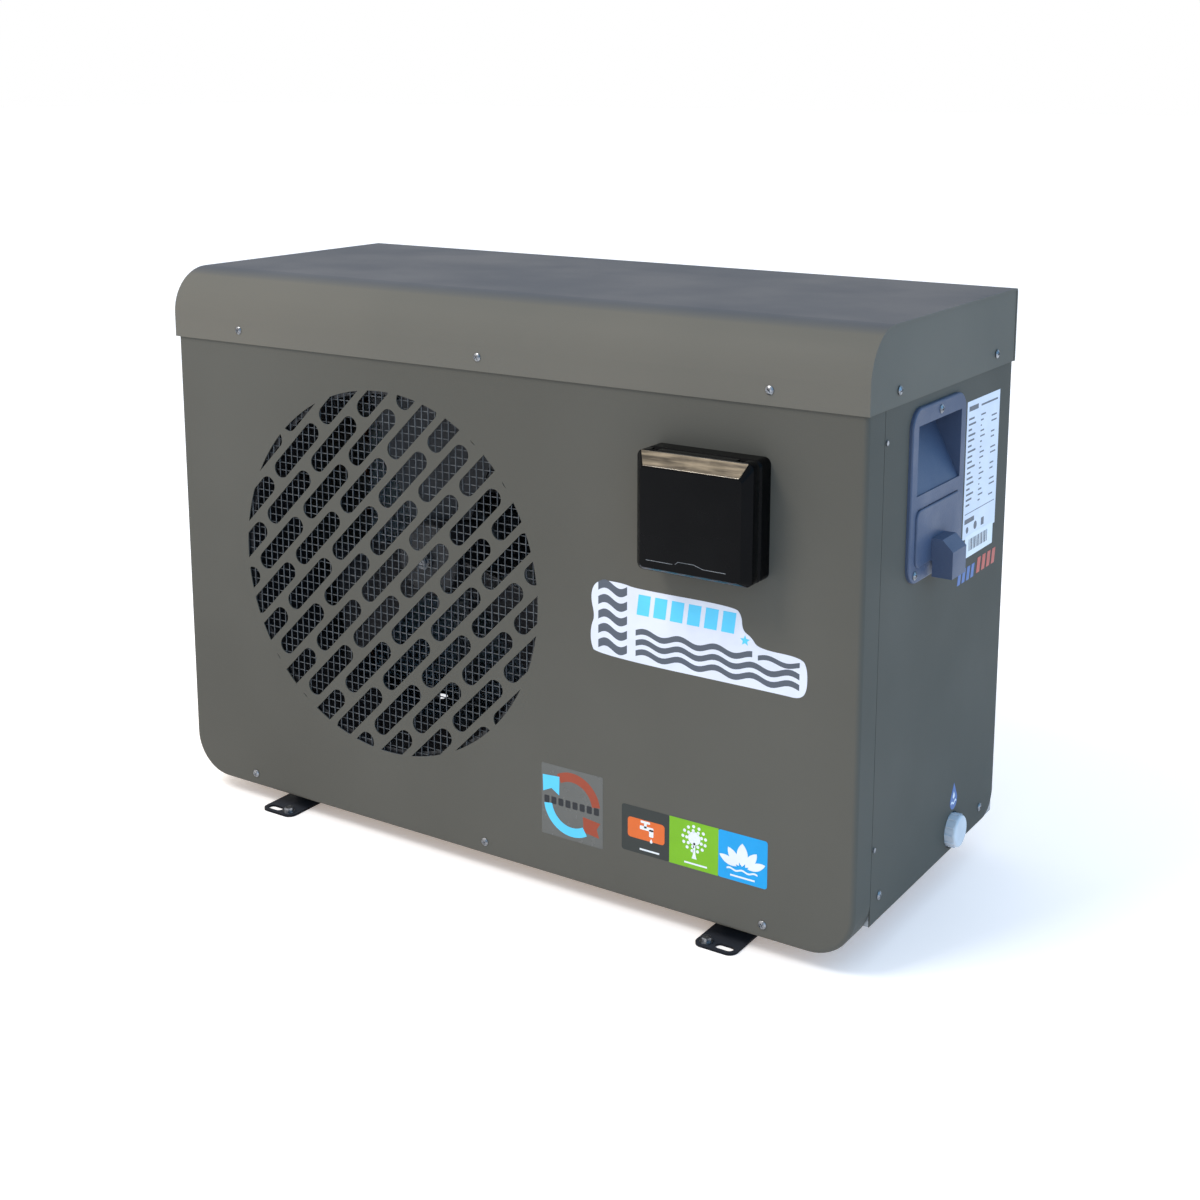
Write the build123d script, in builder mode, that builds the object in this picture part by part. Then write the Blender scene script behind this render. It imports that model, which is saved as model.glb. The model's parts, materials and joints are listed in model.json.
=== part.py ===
"""Pool heat pump: a sheet steel case with an axial fan behind a slotted front, a finned coil at the
rear, a compressor and a water heat exchanger on the right, and a display under a flip-up lid.

Frame: millimetres, +Z up. The front faces -Y. The origin is on the ground, midway between the feet.
"""

import math
import os

from build123d import *

# ---------------------------------------------------------------- driving dimensions

# case
case_width = 864.0
case_depth = 359.0
ground_gap = 18.5  # ground to the lower edge of the front panel
seam_height = 528.0  # front panel's lower edge to the cover's lower edge
cover_height = 77.0  # cover's lower edge to its top
cover_bend = 50.0  # large bend along the cover's front
cover_rear_bend = 4.0
cover_proud = 2.0  # the cover stands this far outside the panels
cover_lip = 0.7  # step from the cover's end plate to the edge of its wrapped sheet
sheet = 1.2
panel_corner = 48.0  # lower corners of the front panel
panel_bend = 5.0  # bend along the front panel's edges
front_return = 36.0  # depth of the front panel's folded edge
side_lift = 22.5  # side panel's lower edge above the front panel's
side_corner = 28.0  # lower rear corner of a side panel
rear_return = 24.0  # side panel folded round the rear
tuck = 24.0  # panels reach up this far behind the cover's skirt
seam_gap = 0.8  # visible gap between panels
slip = 0.3  # clearance between pieces that only lie beside each other
run_clearance = 0.05  # radial clearance of a shaft or pin that turns

# front grille, fan and shroud
fan_x = -131.0
fan_height = 309.0
grille_radius = 203.0
slot_length = 87.0
slot_width = 20.7
slot_pitch = 97.4
row_pitch = 29.1
slot_angle = 45.0
mesh_pitch = 8.9
mesh_wire = 1.1
mesh_size = 426.0
mesh_gap = 0.05
shroud_radius = 199.0
shroud_wall = 1.5
shroud_depth = 92.0
shroud_flange = 12.0
blade_count = 3
blade_radius = 189.0
blade_thickness = 3.0
hub_radius = 42.0
hub_wall = 3.0
hub_length = 58.0
hub_front = 72.0  # front face of the case to the front of the hub
shaft_radius = 6.0
motor_radius = 48.0
motor_length = 72.0
motor_gap = 12.0  # hub to motor
bracket_rail = 20.0
bracket_spread = 124.0

# feet
foot_spread = 581.0  # between the two rails
foot_width = 46.0
foot_sheet = 2.5
foot_overhang = 17.0  # past the front and rear faces
foot_flange = 12.0
foot_corner = 9.0
anchor_hole = 5.0
anchor_slot = 20.0
anchor_inset = 9.5  # slot's centre line to the end of the foot
anchor_shift = 8.5  # slot's centre outward of the rail's centre
foot_bolt_radius = 3.0
foot_bolt_shift = 12.0  # bolt inward of the rail's centre

# base pan, partition and rear
pan_wall = 1.5
pan_rim = 38.0
pan_skirt = 17.0
partition_x = 97.0
coil_left = -408.0
coil_right = 66.0
coil_base = 58.0
coil_rear_gap = 18.0
tube_rows = 2
tubes_per_row = 20
tube_pitch = 25.0
row_spacing = 22.0
tube_radius = 4.75
coil_thickness = 44.0
guard_columns = 24
guard_rows = 6
guard_bar = 2.4
guard_border = 9.0

# right side: grip and wiring plate, drain
plate_y = -21.5  # centre of the plate
plate_width = 132.0
plate_low = 366.0
plate_high = 537.0
plate_corner = 20.0
plate_proud = 4.0
plate_wall = 2.5
grip_width = 106.0
grip_low = 452.0
grip_high = 520.0
grip_depth = 24.0
cut_margin = 6.0  # case cut-out inside the plate's edge, at its sides
cut_margin_ends = 13.0  # and at its top and bottom
cut_corner = 4.0
wiring_width = 112.0
wiring_low = 370.0
wiring_high = 438.0
wiring_depth = 30.0
hood_width = 34.0
hood_height = 38.0
hood_reach = 24.0
hood_drop = 14.0  # hood's foot below the wiring cover's foot
hood_wall = 2.0
hood_slope = 11.0
gland_z = wiring_low + 34.0
gland_length = 20.0
terminal_width = 60.0
terminal_height = 20.0
terminal_depth = 14.0
terminal_count = 5
gland_radius = 8.0
cable_radius = 5.5
drain_y = 59.5
drain_height = 65.0
drain_hole = 19.5
drain_cap_radius = 17.0
drain_cap_reach = 11.0
drain_boss_radius = 12.0

# controller
controller_x = 274.0
controller_low = 381.0
controller_high = 498.0
controller_width = 124.0
controller_depth = 20.0
controller_wall = 2.5
controller_corner = 7.0
lid_depth = 19.5
lid_wall = 2.0
lid_bevel = 8.0
lid_low_bevel = 5.0
lid_gap = 2.0
lid_top_bevel = 15.0
hinge_drop = 4.5  # hinge axis below the lid's top
hinge_set = 7.0  # hinge axis in front of the housing's face
pin_radius = 1.3
knuckle_width = 8.0
knuckle_spread = 92.0
button_width = 13.0
button_height = 8.0
button_proud = 1.8
button_travel = 1.0
button_flange = 1.6
button_room = 0.4
button_pitch = 22.0
button_names = ("power_button", "mode_button", "down_button", "up_button")
display_width = 84.0
display_height = 48.0
display_rise = 14.0  # display's middle above the controller's middle
display_thickness = 1.3
window_depth = 1.5
strip_margin = 1.2
strip_thickness = 0.8
ear_width = 4.0

# water side
water_x = 334.0
exchanger_radius = 62.0
exchanger_wall = 4.0
exchanger_low = 50.0
exchanger_high = 500.0
inlet_height = 150.0
outlet_height = 430.0
port_radius = 30.0
port_bore = 20.0
port_neck = 24.0
port_reach = 14.0
gasket_thickness = 3.0
collar_length = 5.0
socket_radius = 25.15
socket_depth = 31.0
socket_wall = 3.3
nut_radius = 38.0
nut_length = 26.0
nut_rib = 2.2
nut_ribs = 16
drain_cap_depth = 17.0
drain_cap_ribs = 12
base_height = 20.5  # cup under the heat exchanger
base_wall = 3.7
titanium_turns = 14
titanium_pitch = 14.0
titanium_radius = 38.0
titanium_tube = 5.5
switch_size = 30.0
switch_height = 45.0
paddle_pin = 0.9
paddle_width = 12.0
paddle_length = 30.0

# refrigerant side
compressor_x = 190.0
compressor_y = -20.0
compressor_radius = 58.0
compressor_low = 62.0
compressor_high = 300.0
accumulator_y = 72.0
accumulator_radius = 27.0
grommet_circle = 68.0
pipe_radius = 5.0
pipe_wall = 0.8
pipe_bend = 13.0
valve_height = 360.0
valve_radius = 14.0
valve_length = 84.0
valve_spacing = 22.0
accumulator_low = 110.0
accumulator_high = 280.0
foot_bolt_rise = 8.0

# electrical box
box_left_gap = 16.0  # partition to box
box_right_gap = 56.0  # box to the case's right side
box_front_gap = 14.0
box_depth = 92.0
box_low = 400.0
box_high = 560.0
board_margin = 10.0
board_thickness = 1.6
capacitor_radius = 20.0
capacitor_height = 90.0

# screws
screw_head = 4.4
screw_head_height = 2.4
screw_shank = 2.0
screw_length = 11.0
screw_room = 0.3
touch = 0.02  # gap between faces that rest on each other

# ---------------------------------------------------------------- places worked out from them

front_y = -case_depth / 2
rear_y = case_depth / 2
side_x = case_width / 2
seam_z = ground_gap + seam_height
top_z = seam_z + cover_height
panel_top = seam_z + tuck
side_bottom = ground_gap + side_lift
pan_z = side_bottom + 1.0
pan_floor = pan_z + pan_wall
foot_end_y = rear_y + foot_overhang

SPIN = {"x": (0, 90, 0), "y": (90, 0, 0), "z": (0, 0, 0)}


def front_plane(behind):
    """The plane of the front face, set back by behind, seen from the front."""
    return Plane.XZ.offset(case_depth / 2 - behind)


def slab(x_span, y_span, z_span, mode=Mode.ADD):
    """A block between a low and a high limit along each axis."""
    spans = (x_span, y_span, z_span)
    centre = tuple((low + high) / 2 for low, high in spans)
    sides = [high - low for low, high in spans]
    with Locations(centre):
        Box(*sides, mode=mode)


def rod(centre, along, radius, length, mode=Mode.ADD):
    """A round bar with its middle at centre, lying along one axis."""
    with Locations(centre):
        Cylinder(radius, length, rotation=SPIN[along], mode=mode)


def tube(centre, along, radius, bore, length):
    """A round bar with a hole right through it."""
    rod(centre, along, radius, length)
    rod(centre, along, bore, length, Mode.SUBTRACT)


def write(piece, name):
    """Label a finished piece and write its STEP file."""
    piece.part.label = name
    export_step(piece.part, f"parts/{name}.step")


os.makedirs("parts", exist_ok=True)

# ---------------------------------------------------------------- places of the screws

cover_screw_z = seam_z + 14.5
front_cover_seats = [(x, front_y - cover_proud, cover_screw_z) for x in (-334.0, 0.0, 334.0)]
side_cover_ys = (front_y + 62.0, rear_y - 52.0)
right_cover_seats = [(side_x + cover_proud, y, cover_screw_z) for y in side_cover_ys]
left_cover_seats = [(-side_x - cover_proud, y, cover_screw_z) for y in side_cover_ys]
rear_cover_seats = [(x, rear_y + cover_proud, cover_screw_z) for x in (-400.0, 0.0, 400.0)]
front_foot_seats = [(x, front_y, ground_gap + 15.0) for x in (-336.0, 0.0, 336.0)]
side_foot_seats = [(front_y + 56.0, ground_gap + 49.0), (rear_y - 41.0, ground_gap + 42.0)]
right_foot_seats = [(side_x, y, z) for y, z in side_foot_seats]
left_foot_seats = [(-side_x, y, z) for y, z in side_foot_seats]
rivet_seats = [(front_y + front_return + 4.5, ground_gap + 497.0), (front_y + front_return + 4.5, 120.0)]
plate_screw_seats = [
    (plate_y, (grip_high + plate_high) / 2),
    (plate_y - plate_width / 2 + 14.0, plate_low + 9.0),
    (plate_y + plate_width / 2 - 14.0, plate_low + 9.0),
]


def screw_holes(seats, along):
    """Clear holes for the screw shanks, drilled along one axis."""
    for seat in seats:
        rod(seat, along, screw_shank + screw_room, 4 * screw_head, Mode.SUBTRACT)


# ---------------------------------------------------------------- top cover


def cover_block(span, inset, foot, mode=Mode.ADD):
    """Fill the cover's side outline, set in by inset and reaching down to foot, between two x limits."""
    low_y = front_y - cover_proud + inset
    high_y = rear_y + cover_proud - inset
    crown = top_z - inset
    with BuildSketch(Plane.YZ.offset(span[0])) as section:
        with Locations(((low_y + high_y) / 2, (foot + crown) / 2)):
            Rectangle(high_y - low_y, crown - foot)
        front_corner = section.vertices().group_by(Axis.Y)[-1].sort_by(Axis.X)[0]
        fillet(front_corner, cover_bend - inset)
        rear_corner = section.vertices().group_by(Axis.Y)[-1].sort_by(Axis.X)[-1]
        fillet(rear_corner, max(cover_rear_bend - inset, 0.5))
    extrude(section.sketch, amount=span[1] - span[0], mode=mode)


cover_half = side_x + cover_proud
with BuildPart() as top_cover:
    cover_block((-cover_half, cover_half), 0, seam_z)
    hollow_half = cover_half - sheet - cover_lip
    cover_block((-hollow_half, hollow_half), sheet, seam_z - 1, Mode.SUBTRACT)
    for end in (-1, 1):
        lip_span = sorted((end * (cover_half - cover_lip), end * (cover_half + 1)))
        cover_block(lip_span, 2 * sheet, seam_z - 1, Mode.SUBTRACT)
    screw_holes(front_cover_seats + rear_cover_seats, "y")
    screw_holes(right_cover_seats + left_cover_seats, "x")
write(top_cover, "top_cover")

# ---------------------------------------------------------------- front panel with its slotted grille


def panel_tray(behind, inset, bend, top):
    """A block with the front panel's outline, its front edge rounded everywhere but at the top."""
    bottom = ground_gap + inset
    with BuildPart() as tray:
        with BuildSketch(front_plane(behind)) as outline:
            with Locations((0, (bottom + top) / 2)):
                Rectangle(case_width - 2 * inset, top - bottom)
            fillet(outline.vertices().group_by(Axis.Y)[0], panel_corner - inset)
        extrude(amount=-front_return)
        face_edges = tray.faces().sort_by(Axis.Y)[0].edges()
        fillet(face_edges.sort_by(Axis.Z)[:-1], bend)
    return tray.part


def grille_slots():
    """Draw slots in staggered slanting rows, trimmed to a circle, in the open sketch."""
    turn = math.radians(slot_angle)
    rows = math.ceil(grille_radius / row_pitch)
    steps = math.ceil(grille_radius / slot_pitch) + 1
    centres = []
    for row in range(-rows, rows + 1):
        shift = slot_pitch / 2 if row % 2 else 0.0
        for step in range(-steps, steps + 1):
            along = step * slot_pitch + shift
            across = row * row_pitch
            x = along * math.cos(turn) - across * math.sin(turn)
            z = along * math.sin(turn) + across * math.cos(turn)
            if math.hypot(x, z) < grille_radius + slot_length / 2:
                centres.append((fan_x + x, fan_height + z))
    with Locations(*centres):
        SlotOverall(slot_length, slot_width, rotation=slot_angle)
    with Locations((fan_x, fan_height)):
        Circle(grille_radius, mode=Mode.INTERSECT)


panel_outside = panel_tray(0, 0, panel_bend, panel_top)
panel_inside = panel_tray(sheet, sheet, panel_bend - sheet, panel_top + sheet)
with BuildPart() as front_panel:
    add(panel_outside)
    add(panel_inside, mode=Mode.SUBTRACT)
    with BuildSketch(front_plane(-1)):
        grille_slots()
    extrude(amount=-(sheet + 2), mode=Mode.SUBTRACT)
    screw_holes(front_foot_seats, "y")
    screw_holes([(x, front_y, z) for x, y, z in front_cover_seats], "y")
    rod((controller_x, front_y, (controller_low + controller_high) / 2), "y", 9.0, 4 * sheet, Mode.SUBTRACT)
write(front_panel, "front_panel")

# ---------------------------------------------------------------- wire mesh behind the grille

wire_count = int(mesh_size / mesh_pitch)
mesh_front = front_y + sheet + slip
mesh_span = wire_count * mesh_pitch
with BuildPart() as guard_mesh:
    with BuildSketch(front_plane(sheet + slip)):
        with Locations((fan_x, fan_height)):
            Rectangle(mesh_span + 10.0, mesh_span + 10.0)
            Rectangle(mesh_span - 6.0, mesh_span - 6.0, mode=Mode.SUBTRACT)
    extrude(amount=-0.6)
    upright_y = mesh_front + 0.6 + mesh_gap + mesh_wire / 2
    with Locations((fan_x, upright_y, fan_height)):
        with GridLocations(mesh_pitch, 0, wire_count, 1):
            Box(mesh_wire, mesh_wire, mesh_span + 8.0)
    level_y = upright_y + mesh_wire + mesh_gap
    for step in range(wire_count):
        height = fan_height + (step - (wire_count - 1) / 2) * mesh_pitch
        slab(
            (fan_x - mesh_span / 2 - 4.0, fan_x + mesh_span / 2 + 4.0),
            (level_y - mesh_wire / 2, level_y + mesh_wire / 2),
            (height - mesh_wire / 2, height + mesh_wire / 2),
        )
write(guard_mesh, "guard_mesh")

# ---------------------------------------------------------------- fan shroud

shroud_y = level_y + mesh_wire / 2 + slip
with BuildPart() as fan_shroud:
    middle = (fan_x, shroud_y + shroud_depth / 2, fan_height)
    rod(middle, "y", shroud_radius + shroud_wall, shroud_depth)
    flange_y = shroud_y + shroud_wall / 2
    rod((fan_x, flange_y, fan_height), "y", shroud_radius + shroud_wall + shroud_flange, shroud_wall)
    rod(middle, "y", shroud_radius, shroud_depth + 1, Mode.SUBTRACT)
write(fan_shroud, "fan_shroud")

# ---------------------------------------------------------------- side panels


def side_sheet(side):
    """One side panel: flat side, a stepped edge behind the front panel and a fold round the rear."""
    start_y = front_y + front_return + seam_gap
    outer = side * side_x
    with BuildPart() as panel:
        with BuildSketch(Plane.YZ.offset(outer)) as outline:
            with Locations(((start_y + rear_y) / 2, (side_bottom + panel_top) / 2)):
                Rectangle(rear_y - start_y, panel_top - side_bottom)
            fillet(outline.vertices().group_by(Axis.Y)[0].sort_by(Axis.X)[-1], side_corner)
        extrude(amount=-side * rear_return)
        rear_edges = panel.edges().filter_by(Axis.Z).group_by(Axis.Y)[-1]
        fillet(rear_edges.sort_by(Axis.X)[-1 if side > 0 else 0], 3.0)
        inner = outer - side * sheet
        far = outer - side * (rear_return + 1)
        slab(sorted((inner, far)), (start_y - 1, rear_y - sheet), (0, panel_top + 1), Mode.SUBTRACT)
        step_x = inner - side * slip
        step_span = sorted((step_x, step_x - side * sheet))
        step_z = (side_bottom + pan_rim + 4.0, panel_top - 2.0)
        slab(step_span, (start_y - 18.0, start_y + 6.0), step_z)
        slab(sorted((inner, step_x)), (start_y, start_y + 6.0), step_z)
        screw_holes([(outer, y, cover_screw_z) for y in side_cover_ys], "x")
        screw_holes([(outer, y, z) for y, z in side_foot_seats], "x")
        screw_holes([(outer, y, z) for y, z in plate_screw_seats], "x")
        screw_holes([(side * (side_x - rear_return / 2), rear_y, z) for z in rear_fold_heights], "y")
        grip_middle = (plate_low + plate_high) / 2
        cut_width = plate_width - 2 * cut_margin
        cut_height = plate_high - plate_low - 2 * cut_margin_ends
        cut = 2 * (plate_proud + slip) + 2 * plate_wall
        with BuildSketch(Plane.YZ.offset(outer)):
            with Locations((plate_y, grip_middle)):
                RectangleRounded(cut_width, cut_height, cut_corner)
        extrude(amount=cut, both=True, mode=Mode.SUBTRACT)
        if side > 0:
            rod((outer, drain_y, drain_height), "x", drain_hole, 4 * sheet, Mode.SUBTRACT)
    return panel


rear_fold_heights = (side_bottom + 60.0, (side_bottom + seam_z) / 2, seam_z - 30.0)
right_side_panel = side_sheet(1)
write(right_side_panel, "right_side_panel")
left_side_panel = side_sheet(-1)
write(left_side_panel, "left_side_panel")

# ---------------------------------------------------------------- base pan

pan_half = side_x - sheet - slip
pan_front = front_y + sheet + slip
pan_rear = rear_y - sheet - slip
pan_step_y = front_y + front_return + seam_gap
pan_nose = side_x - panel_corner


def pan_block(inset, z_span, mode=Mode.ADD):
    """The pan's outline, narrower behind the front panel's rounded corners, between two heights."""
    slab((-pan_half + inset, pan_half - inset), (pan_step_y + inset, pan_rear - inset), z_span, mode)
    slab((-pan_nose + inset, pan_nose - inset), (pan_front + inset, pan_step_y + inset + 1), z_span, mode)


with BuildPart() as base_pan:
    pan_block(0, (pan_z, pan_z + pan_rim))
    pan_block(pan_wall, (pan_floor, pan_z + pan_rim + 1), Mode.SUBTRACT)
    slab((-pan_nose, pan_nose), (pan_front, pan_front + pan_wall), (pan_z - pan_skirt, pan_z + 1))
    screw_holes(front_foot_seats, "y")
    screw_holes(right_foot_seats + left_foot_seats, "x")
    rod((pan_half, drain_y, drain_height), "x", drain_hole, 6 * pan_wall, Mode.SUBTRACT)
    for hole_x in (-300.0, -180.0, -60.0):
        rod((hole_x, rear_y - 60.0, pan_z), "z", 12.0, 4 * pan_wall, Mode.SUBTRACT)
write(base_pan, "base_pan")

# ---------------------------------------------------------------- foot rails and their bolts


def foot_rail(side):
    """A channel under the base pan whose flat sole runs out past the front and the rear."""
    centre = side * foot_spread / 2
    half = foot_width / 2
    web_end = rear_y - front_return - 8.0
    rail_top = pan_z
    with BuildPart() as rail:
        slab((centre - half, centre + half), (-foot_end_y, foot_end_y), (0, foot_sheet))
        fillet(rail.edges().filter_by(Axis.Z), foot_corner)
        for edge in (-1, 1):
            wall = sorted((centre + edge * half, centre + edge * (half - foot_sheet)))
            slab(wall, (-web_end, web_end), (0, rail_top))
            flange = sorted((centre + edge * half, centre + edge * (half + foot_flange)))
            slab(flange, (-web_end, web_end), (rail_top - foot_sheet, rail_top))
        for end in (-1, 1):
            slot_y = end * (foot_end_y - anchor_inset)
            with BuildSketch(Plane.XY):
                with Locations((centre + side * anchor_shift, slot_y)):
                    SlotOverall(anchor_slot, 2 * anchor_hole)
            extrude(amount=2 * foot_sheet, mode=Mode.SUBTRACT)
            bolt_at = (centre - side * foot_bolt_shift, slot_y, foot_sheet)
            rod(bolt_at, "z", foot_bolt_radius + screw_room, 4 * foot_sheet, Mode.SUBTRACT)
    return rail


write(foot_rail(1), "right_foot_rail")
write(foot_rail(-1), "left_foot_rail")

with BuildPart() as foot_bolts:
    for side in (-1, 1):
        for end in (-1, 1):
            bolt_x = side * (foot_spread / 2 - foot_bolt_shift)
            bolt_y = end * (foot_end_y - anchor_inset)
            with BuildSketch(Plane.XY.offset(foot_sheet)):
                with Locations((bolt_x, bolt_y)):
                    Circle(7.0)
            extrude(amount=1.2)
            with BuildSketch(Plane.XY.offset(foot_sheet + 1.2)):
                with Locations((bolt_x, bolt_y)):
                    RegularPolygon(5.2, 6)
            extrude(amount=4.2)
            rod((bolt_x, bolt_y, foot_sheet / 2 + 0.4), "z", foot_bolt_radius, foot_sheet - 0.4)
write(foot_bolts, "foot_bolts")

# ---------------------------------------------------------------- partition between fan and compressor

coil_rear = rear_y - coil_rear_gap
coil_front = coil_rear - coil_thickness
row_ys = [coil_front + (coil_thickness - row_spacing) / 2 + row * row_spacing for row in range(tube_rows)]
tube_zs = [coil_base + tube_pitch / 2 + step * tube_pitch for step in range(tubes_per_row)]
coil_top = coil_base + tubes_per_row * tube_pitch

with BuildPart() as partition_plate:
    low_y = pan_front + pan_wall + slip
    high_y = pan_rear - pan_wall - slip
    slab((partition_x, partition_x + sheet), (low_y, high_y), (pan_floor, seam_z - 6.0))
    foot = (pan_floor, pan_floor + sheet)
    slab((partition_x, partition_x + 14.0), (low_y, high_y), foot)
    slab((partition_x, partition_x + 14.0), (low_y, low_y + sheet), (pan_floor, seam_z - 6.0))
    for pipe_y in row_ys:
        rod((partition_x, pipe_y, tube_zs[-1]), "x", pipe_radius + 2.0, 6 * sheet, Mode.SUBTRACT)
write(partition_plate, "partition_plate")

# ---------------------------------------------------------------- rear panel and coil guard

port_hole = port_radius + 3.0
with BuildPart() as rear_panel:
    rear_sheet = (rear_y - sheet - slip - sheet, rear_y - sheet - slip)
    rear_left = coil_right - 2.0
    rear_bottom = pan_z + pan_rim + slip
    slab((rear_left, side_x - sheet - slip), rear_sheet, (rear_bottom, panel_top - 2.0))
    fold_y = (rear_sheet[0] - 12.0, rear_sheet[1])
    slab((rear_left, rear_left + 2 * sheet), fold_y, (rear_bottom, panel_top - 2.0))
    for height in (inlet_height, outlet_height):
        rod((water_x, rear_y, height), "y", port_hole, 8 * sheet, Mode.SUBTRACT)
    screw_holes([(side_x - rear_return / 2, rear_y, z) for z in rear_fold_heights], "y")
    screw_holes(rear_cover_seats, "y")
write(rear_panel, "rear_panel")

guard_low = pan_z + pan_rim + 3.0
guard_high = seam_z + 10.0
guard_left = -side_x + sheet + slip
guard_right = rear_left - slip
with BuildPart() as rear_guard:
    cell_width = (guard_right - guard_left - 2 * guard_border + guard_bar) / guard_columns
    cell_height = (guard_high - guard_low - 2 * guard_border + guard_bar) / guard_rows
    with BuildSketch(Plane.XZ.offset(-rear_sheet[0])):
        with Locations(((guard_left + guard_right) / 2, (guard_low + guard_high) / 2)):
            Rectangle(guard_right - guard_left, guard_high - guard_low)
            with GridLocations(cell_width, cell_height, guard_columns, guard_rows):
                Rectangle(cell_width - guard_bar, cell_height - guard_bar, mode=Mode.SUBTRACT)
    extrude(amount=-sheet)
    screw_holes([(-side_x + rear_return / 2, rear_y, z) for z in rear_fold_heights], "y")
write(rear_guard, "rear_guard")

# ---------------------------------------------------------------- finned coil

with BuildPart() as evaporator_fins:
    slab((coil_left, coil_right), (coil_front, coil_rear), (coil_base, coil_top))
    for row_y in row_ys:
        for tube_z in tube_zs:
            middle = ((coil_left + coil_right) / 2, row_y, tube_z)
            rod(middle, "x", tube_radius + run_clearance, coil_right - coil_left + 2, Mode.SUBTRACT)
write(evaporator_fins, "evaporator_fins")

tube_stub = 2.0  # straight tube standing out of the fins at each end
with BuildPart() as evaporator_tubes:
    for row_y in row_ys:
        for tube_z in tube_zs:
            middle = ((coil_left + coil_right) / 2, row_y, tube_z)
            rod(middle, "x", tube_radius, coil_right - coil_left + 2 * tube_stub)
    for row_y in row_ys:
        for step in range(tubes_per_row - 1):
            at_left = step % 2 == 0
            bend_x = coil_left - tube_stub - touch if at_left else coil_right + tube_stub + touch
            bend_at = (bend_x, row_y, tube_zs[step] + tube_pitch / 2)
            turn_axis = (0, 1 if at_left else -1, 0)
            with Locations(Plane(origin=bend_at, x_dir=(0, 0, -1), z_dir=turn_axis)):
                Torus(tube_pitch / 2, tube_radius, major_angle=180, align=None)
write(evaporator_tubes, "evaporator_tubes")

# ---------------------------------------------------------------- fan, motor and bracket

fan_front = front_y + hub_front
fan_middle = fan_front + hub_length / 2
motor_front = fan_front + hub_length + motor_gap
motor_rear = motor_front + motor_length
shaft_front = fan_front - 12.0
shaft_rear = motor_rear - 12.0


def blade_section(reach, chord, pitch):
    """A flat rounded blade section at a distance from the fan's axis."""
    plane = Plane(origin=(fan_x, fan_middle, fan_height + reach), x_dir=(1, 0, 0), z_dir=(0, 0, 1))
    with BuildSketch(plane) as section:
        SlotOverall(chord, blade_thickness, rotation=pitch)
    return section.sketch


with BuildPart() as blade:
    add(blade_section(hub_radius - 2.0, 66.0, 38.0))
    add(blade_section((hub_radius + blade_radius) / 2, 120.0, 28.0))
    add(blade_section(blade_radius - 12.0, 158.0, 22.0))
    loft()

fan_axis = Axis((fan_x, fan_middle, fan_height), (0, 1, 0))
with BuildPart() as fan:
    rod((fan_x, fan_middle, fan_height), "y", hub_radius, hub_length)
    fillet(fan.faces().sort_by(Axis.Y)[0].edges(), 6.0)
    for step in range(blade_count):
        add(blade.part.rotate(fan_axis, step * 360 / blade_count))
    rear_cut = fan_front + hub_wall + (hub_length - hub_wall) / 2 + 0.5
    rod((fan_x, rear_cut, fan_height), "y", hub_radius - hub_wall, hub_length - hub_wall + 1, Mode.SUBTRACT)
    rod((fan_x, fan_middle, fan_height), "y", shaft_radius + 5.0, hub_length)
    for turn in (0, 60, 120):
        with Locations(Location((fan_x, fan_middle, fan_height), (0, turn, 0))):
            Box(2 * (hub_radius - 1.0), hub_length - 2.0, 2.4)
    rod((fan_x, fan_middle, fan_height), "y", shaft_radius + 0.02, hub_length + 60, Mode.SUBTRACT)
write(fan, "fan")

with BuildPart() as fan_shaft:
    rod((fan_x, (shaft_front + shaft_rear) / 2, fan_height), "y", shaft_radius, shaft_rear - shaft_front)
write(fan_shaft, "fan_shaft")

with BuildPart() as fan_nut:
    with BuildSketch(Plane.XZ.offset(-(fan_front - slip - 7.0))):
        with Locations((fan_x, fan_height)):
            RegularPolygon(10.0, 6)
            Circle(shaft_radius + 0.02, mode=Mode.SUBTRACT)
    extrude(amount=-7.0)
write(fan_nut, "fan_nut")

bracket_y = motor_rear + 0.02
with BuildPart() as fan_motor:
    rod((fan_x, (motor_front + motor_rear) / 2, fan_height), "y", motor_radius, motor_length)
    fillet(fan_motor.faces().sort_by(Axis.Y)[0].edges(), 8.0)
    lug_y = (motor_rear - 3.0, motor_rear)
    lug_half = bracket_spread / 2 + bracket_rail / 2 - 2.0
    slab((fan_x - lug_half, fan_x + lug_half), lug_y, (fan_height - 24.0, fan_height + 24.0))
    bore_length = shaft_rear - motor_front + 2.0
    bore_at = (fan_x, motor_front + bore_length / 2 - 0.5, fan_height)
    rod(bore_at, "y", shaft_radius + run_clearance, bore_length + 1, Mode.SUBTRACT)
    rod((fan_x + motor_radius - 1.0, motor_rear - 18.0, fan_height - 20.0), "x", 6.0, 10.0)
write(fan_motor, "fan_motor")

bracket_top = coil_top - 6.0
with BuildPart() as motor_bracket:
    for side in (-1, 1):
        rail_x = fan_x + side * bracket_spread / 2
        span = (rail_x - bracket_rail / 2, rail_x + bracket_rail / 2)
        slab(span, (bracket_y, bracket_y + 18.0), (pan_floor, bracket_top))
        inner = (rail_x - bracket_rail / 2 + 1.5, rail_x + bracket_rail / 2 - 1.5)
        slab(inner, (bracket_y + 1.5, bracket_y + 19.0), (pan_floor - 1, bracket_top + 1), Mode.SUBTRACT)
        slab(span, (bracket_y, coil_front - slip), (pan_floor, pan_floor + 1.5))
    cross = (fan_x - bracket_spread / 2 - bracket_rail / 2, fan_x + bracket_spread / 2 + bracket_rail / 2)
    for height in (fan_height + 110.0, bracket_top - 14.0):
        slab(cross, (bracket_y - 1.5, bracket_y), (height, height + 14.0))
write(motor_bracket, "motor_bracket")

# ---------------------------------------------------------------- grip plates in both sides


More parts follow.
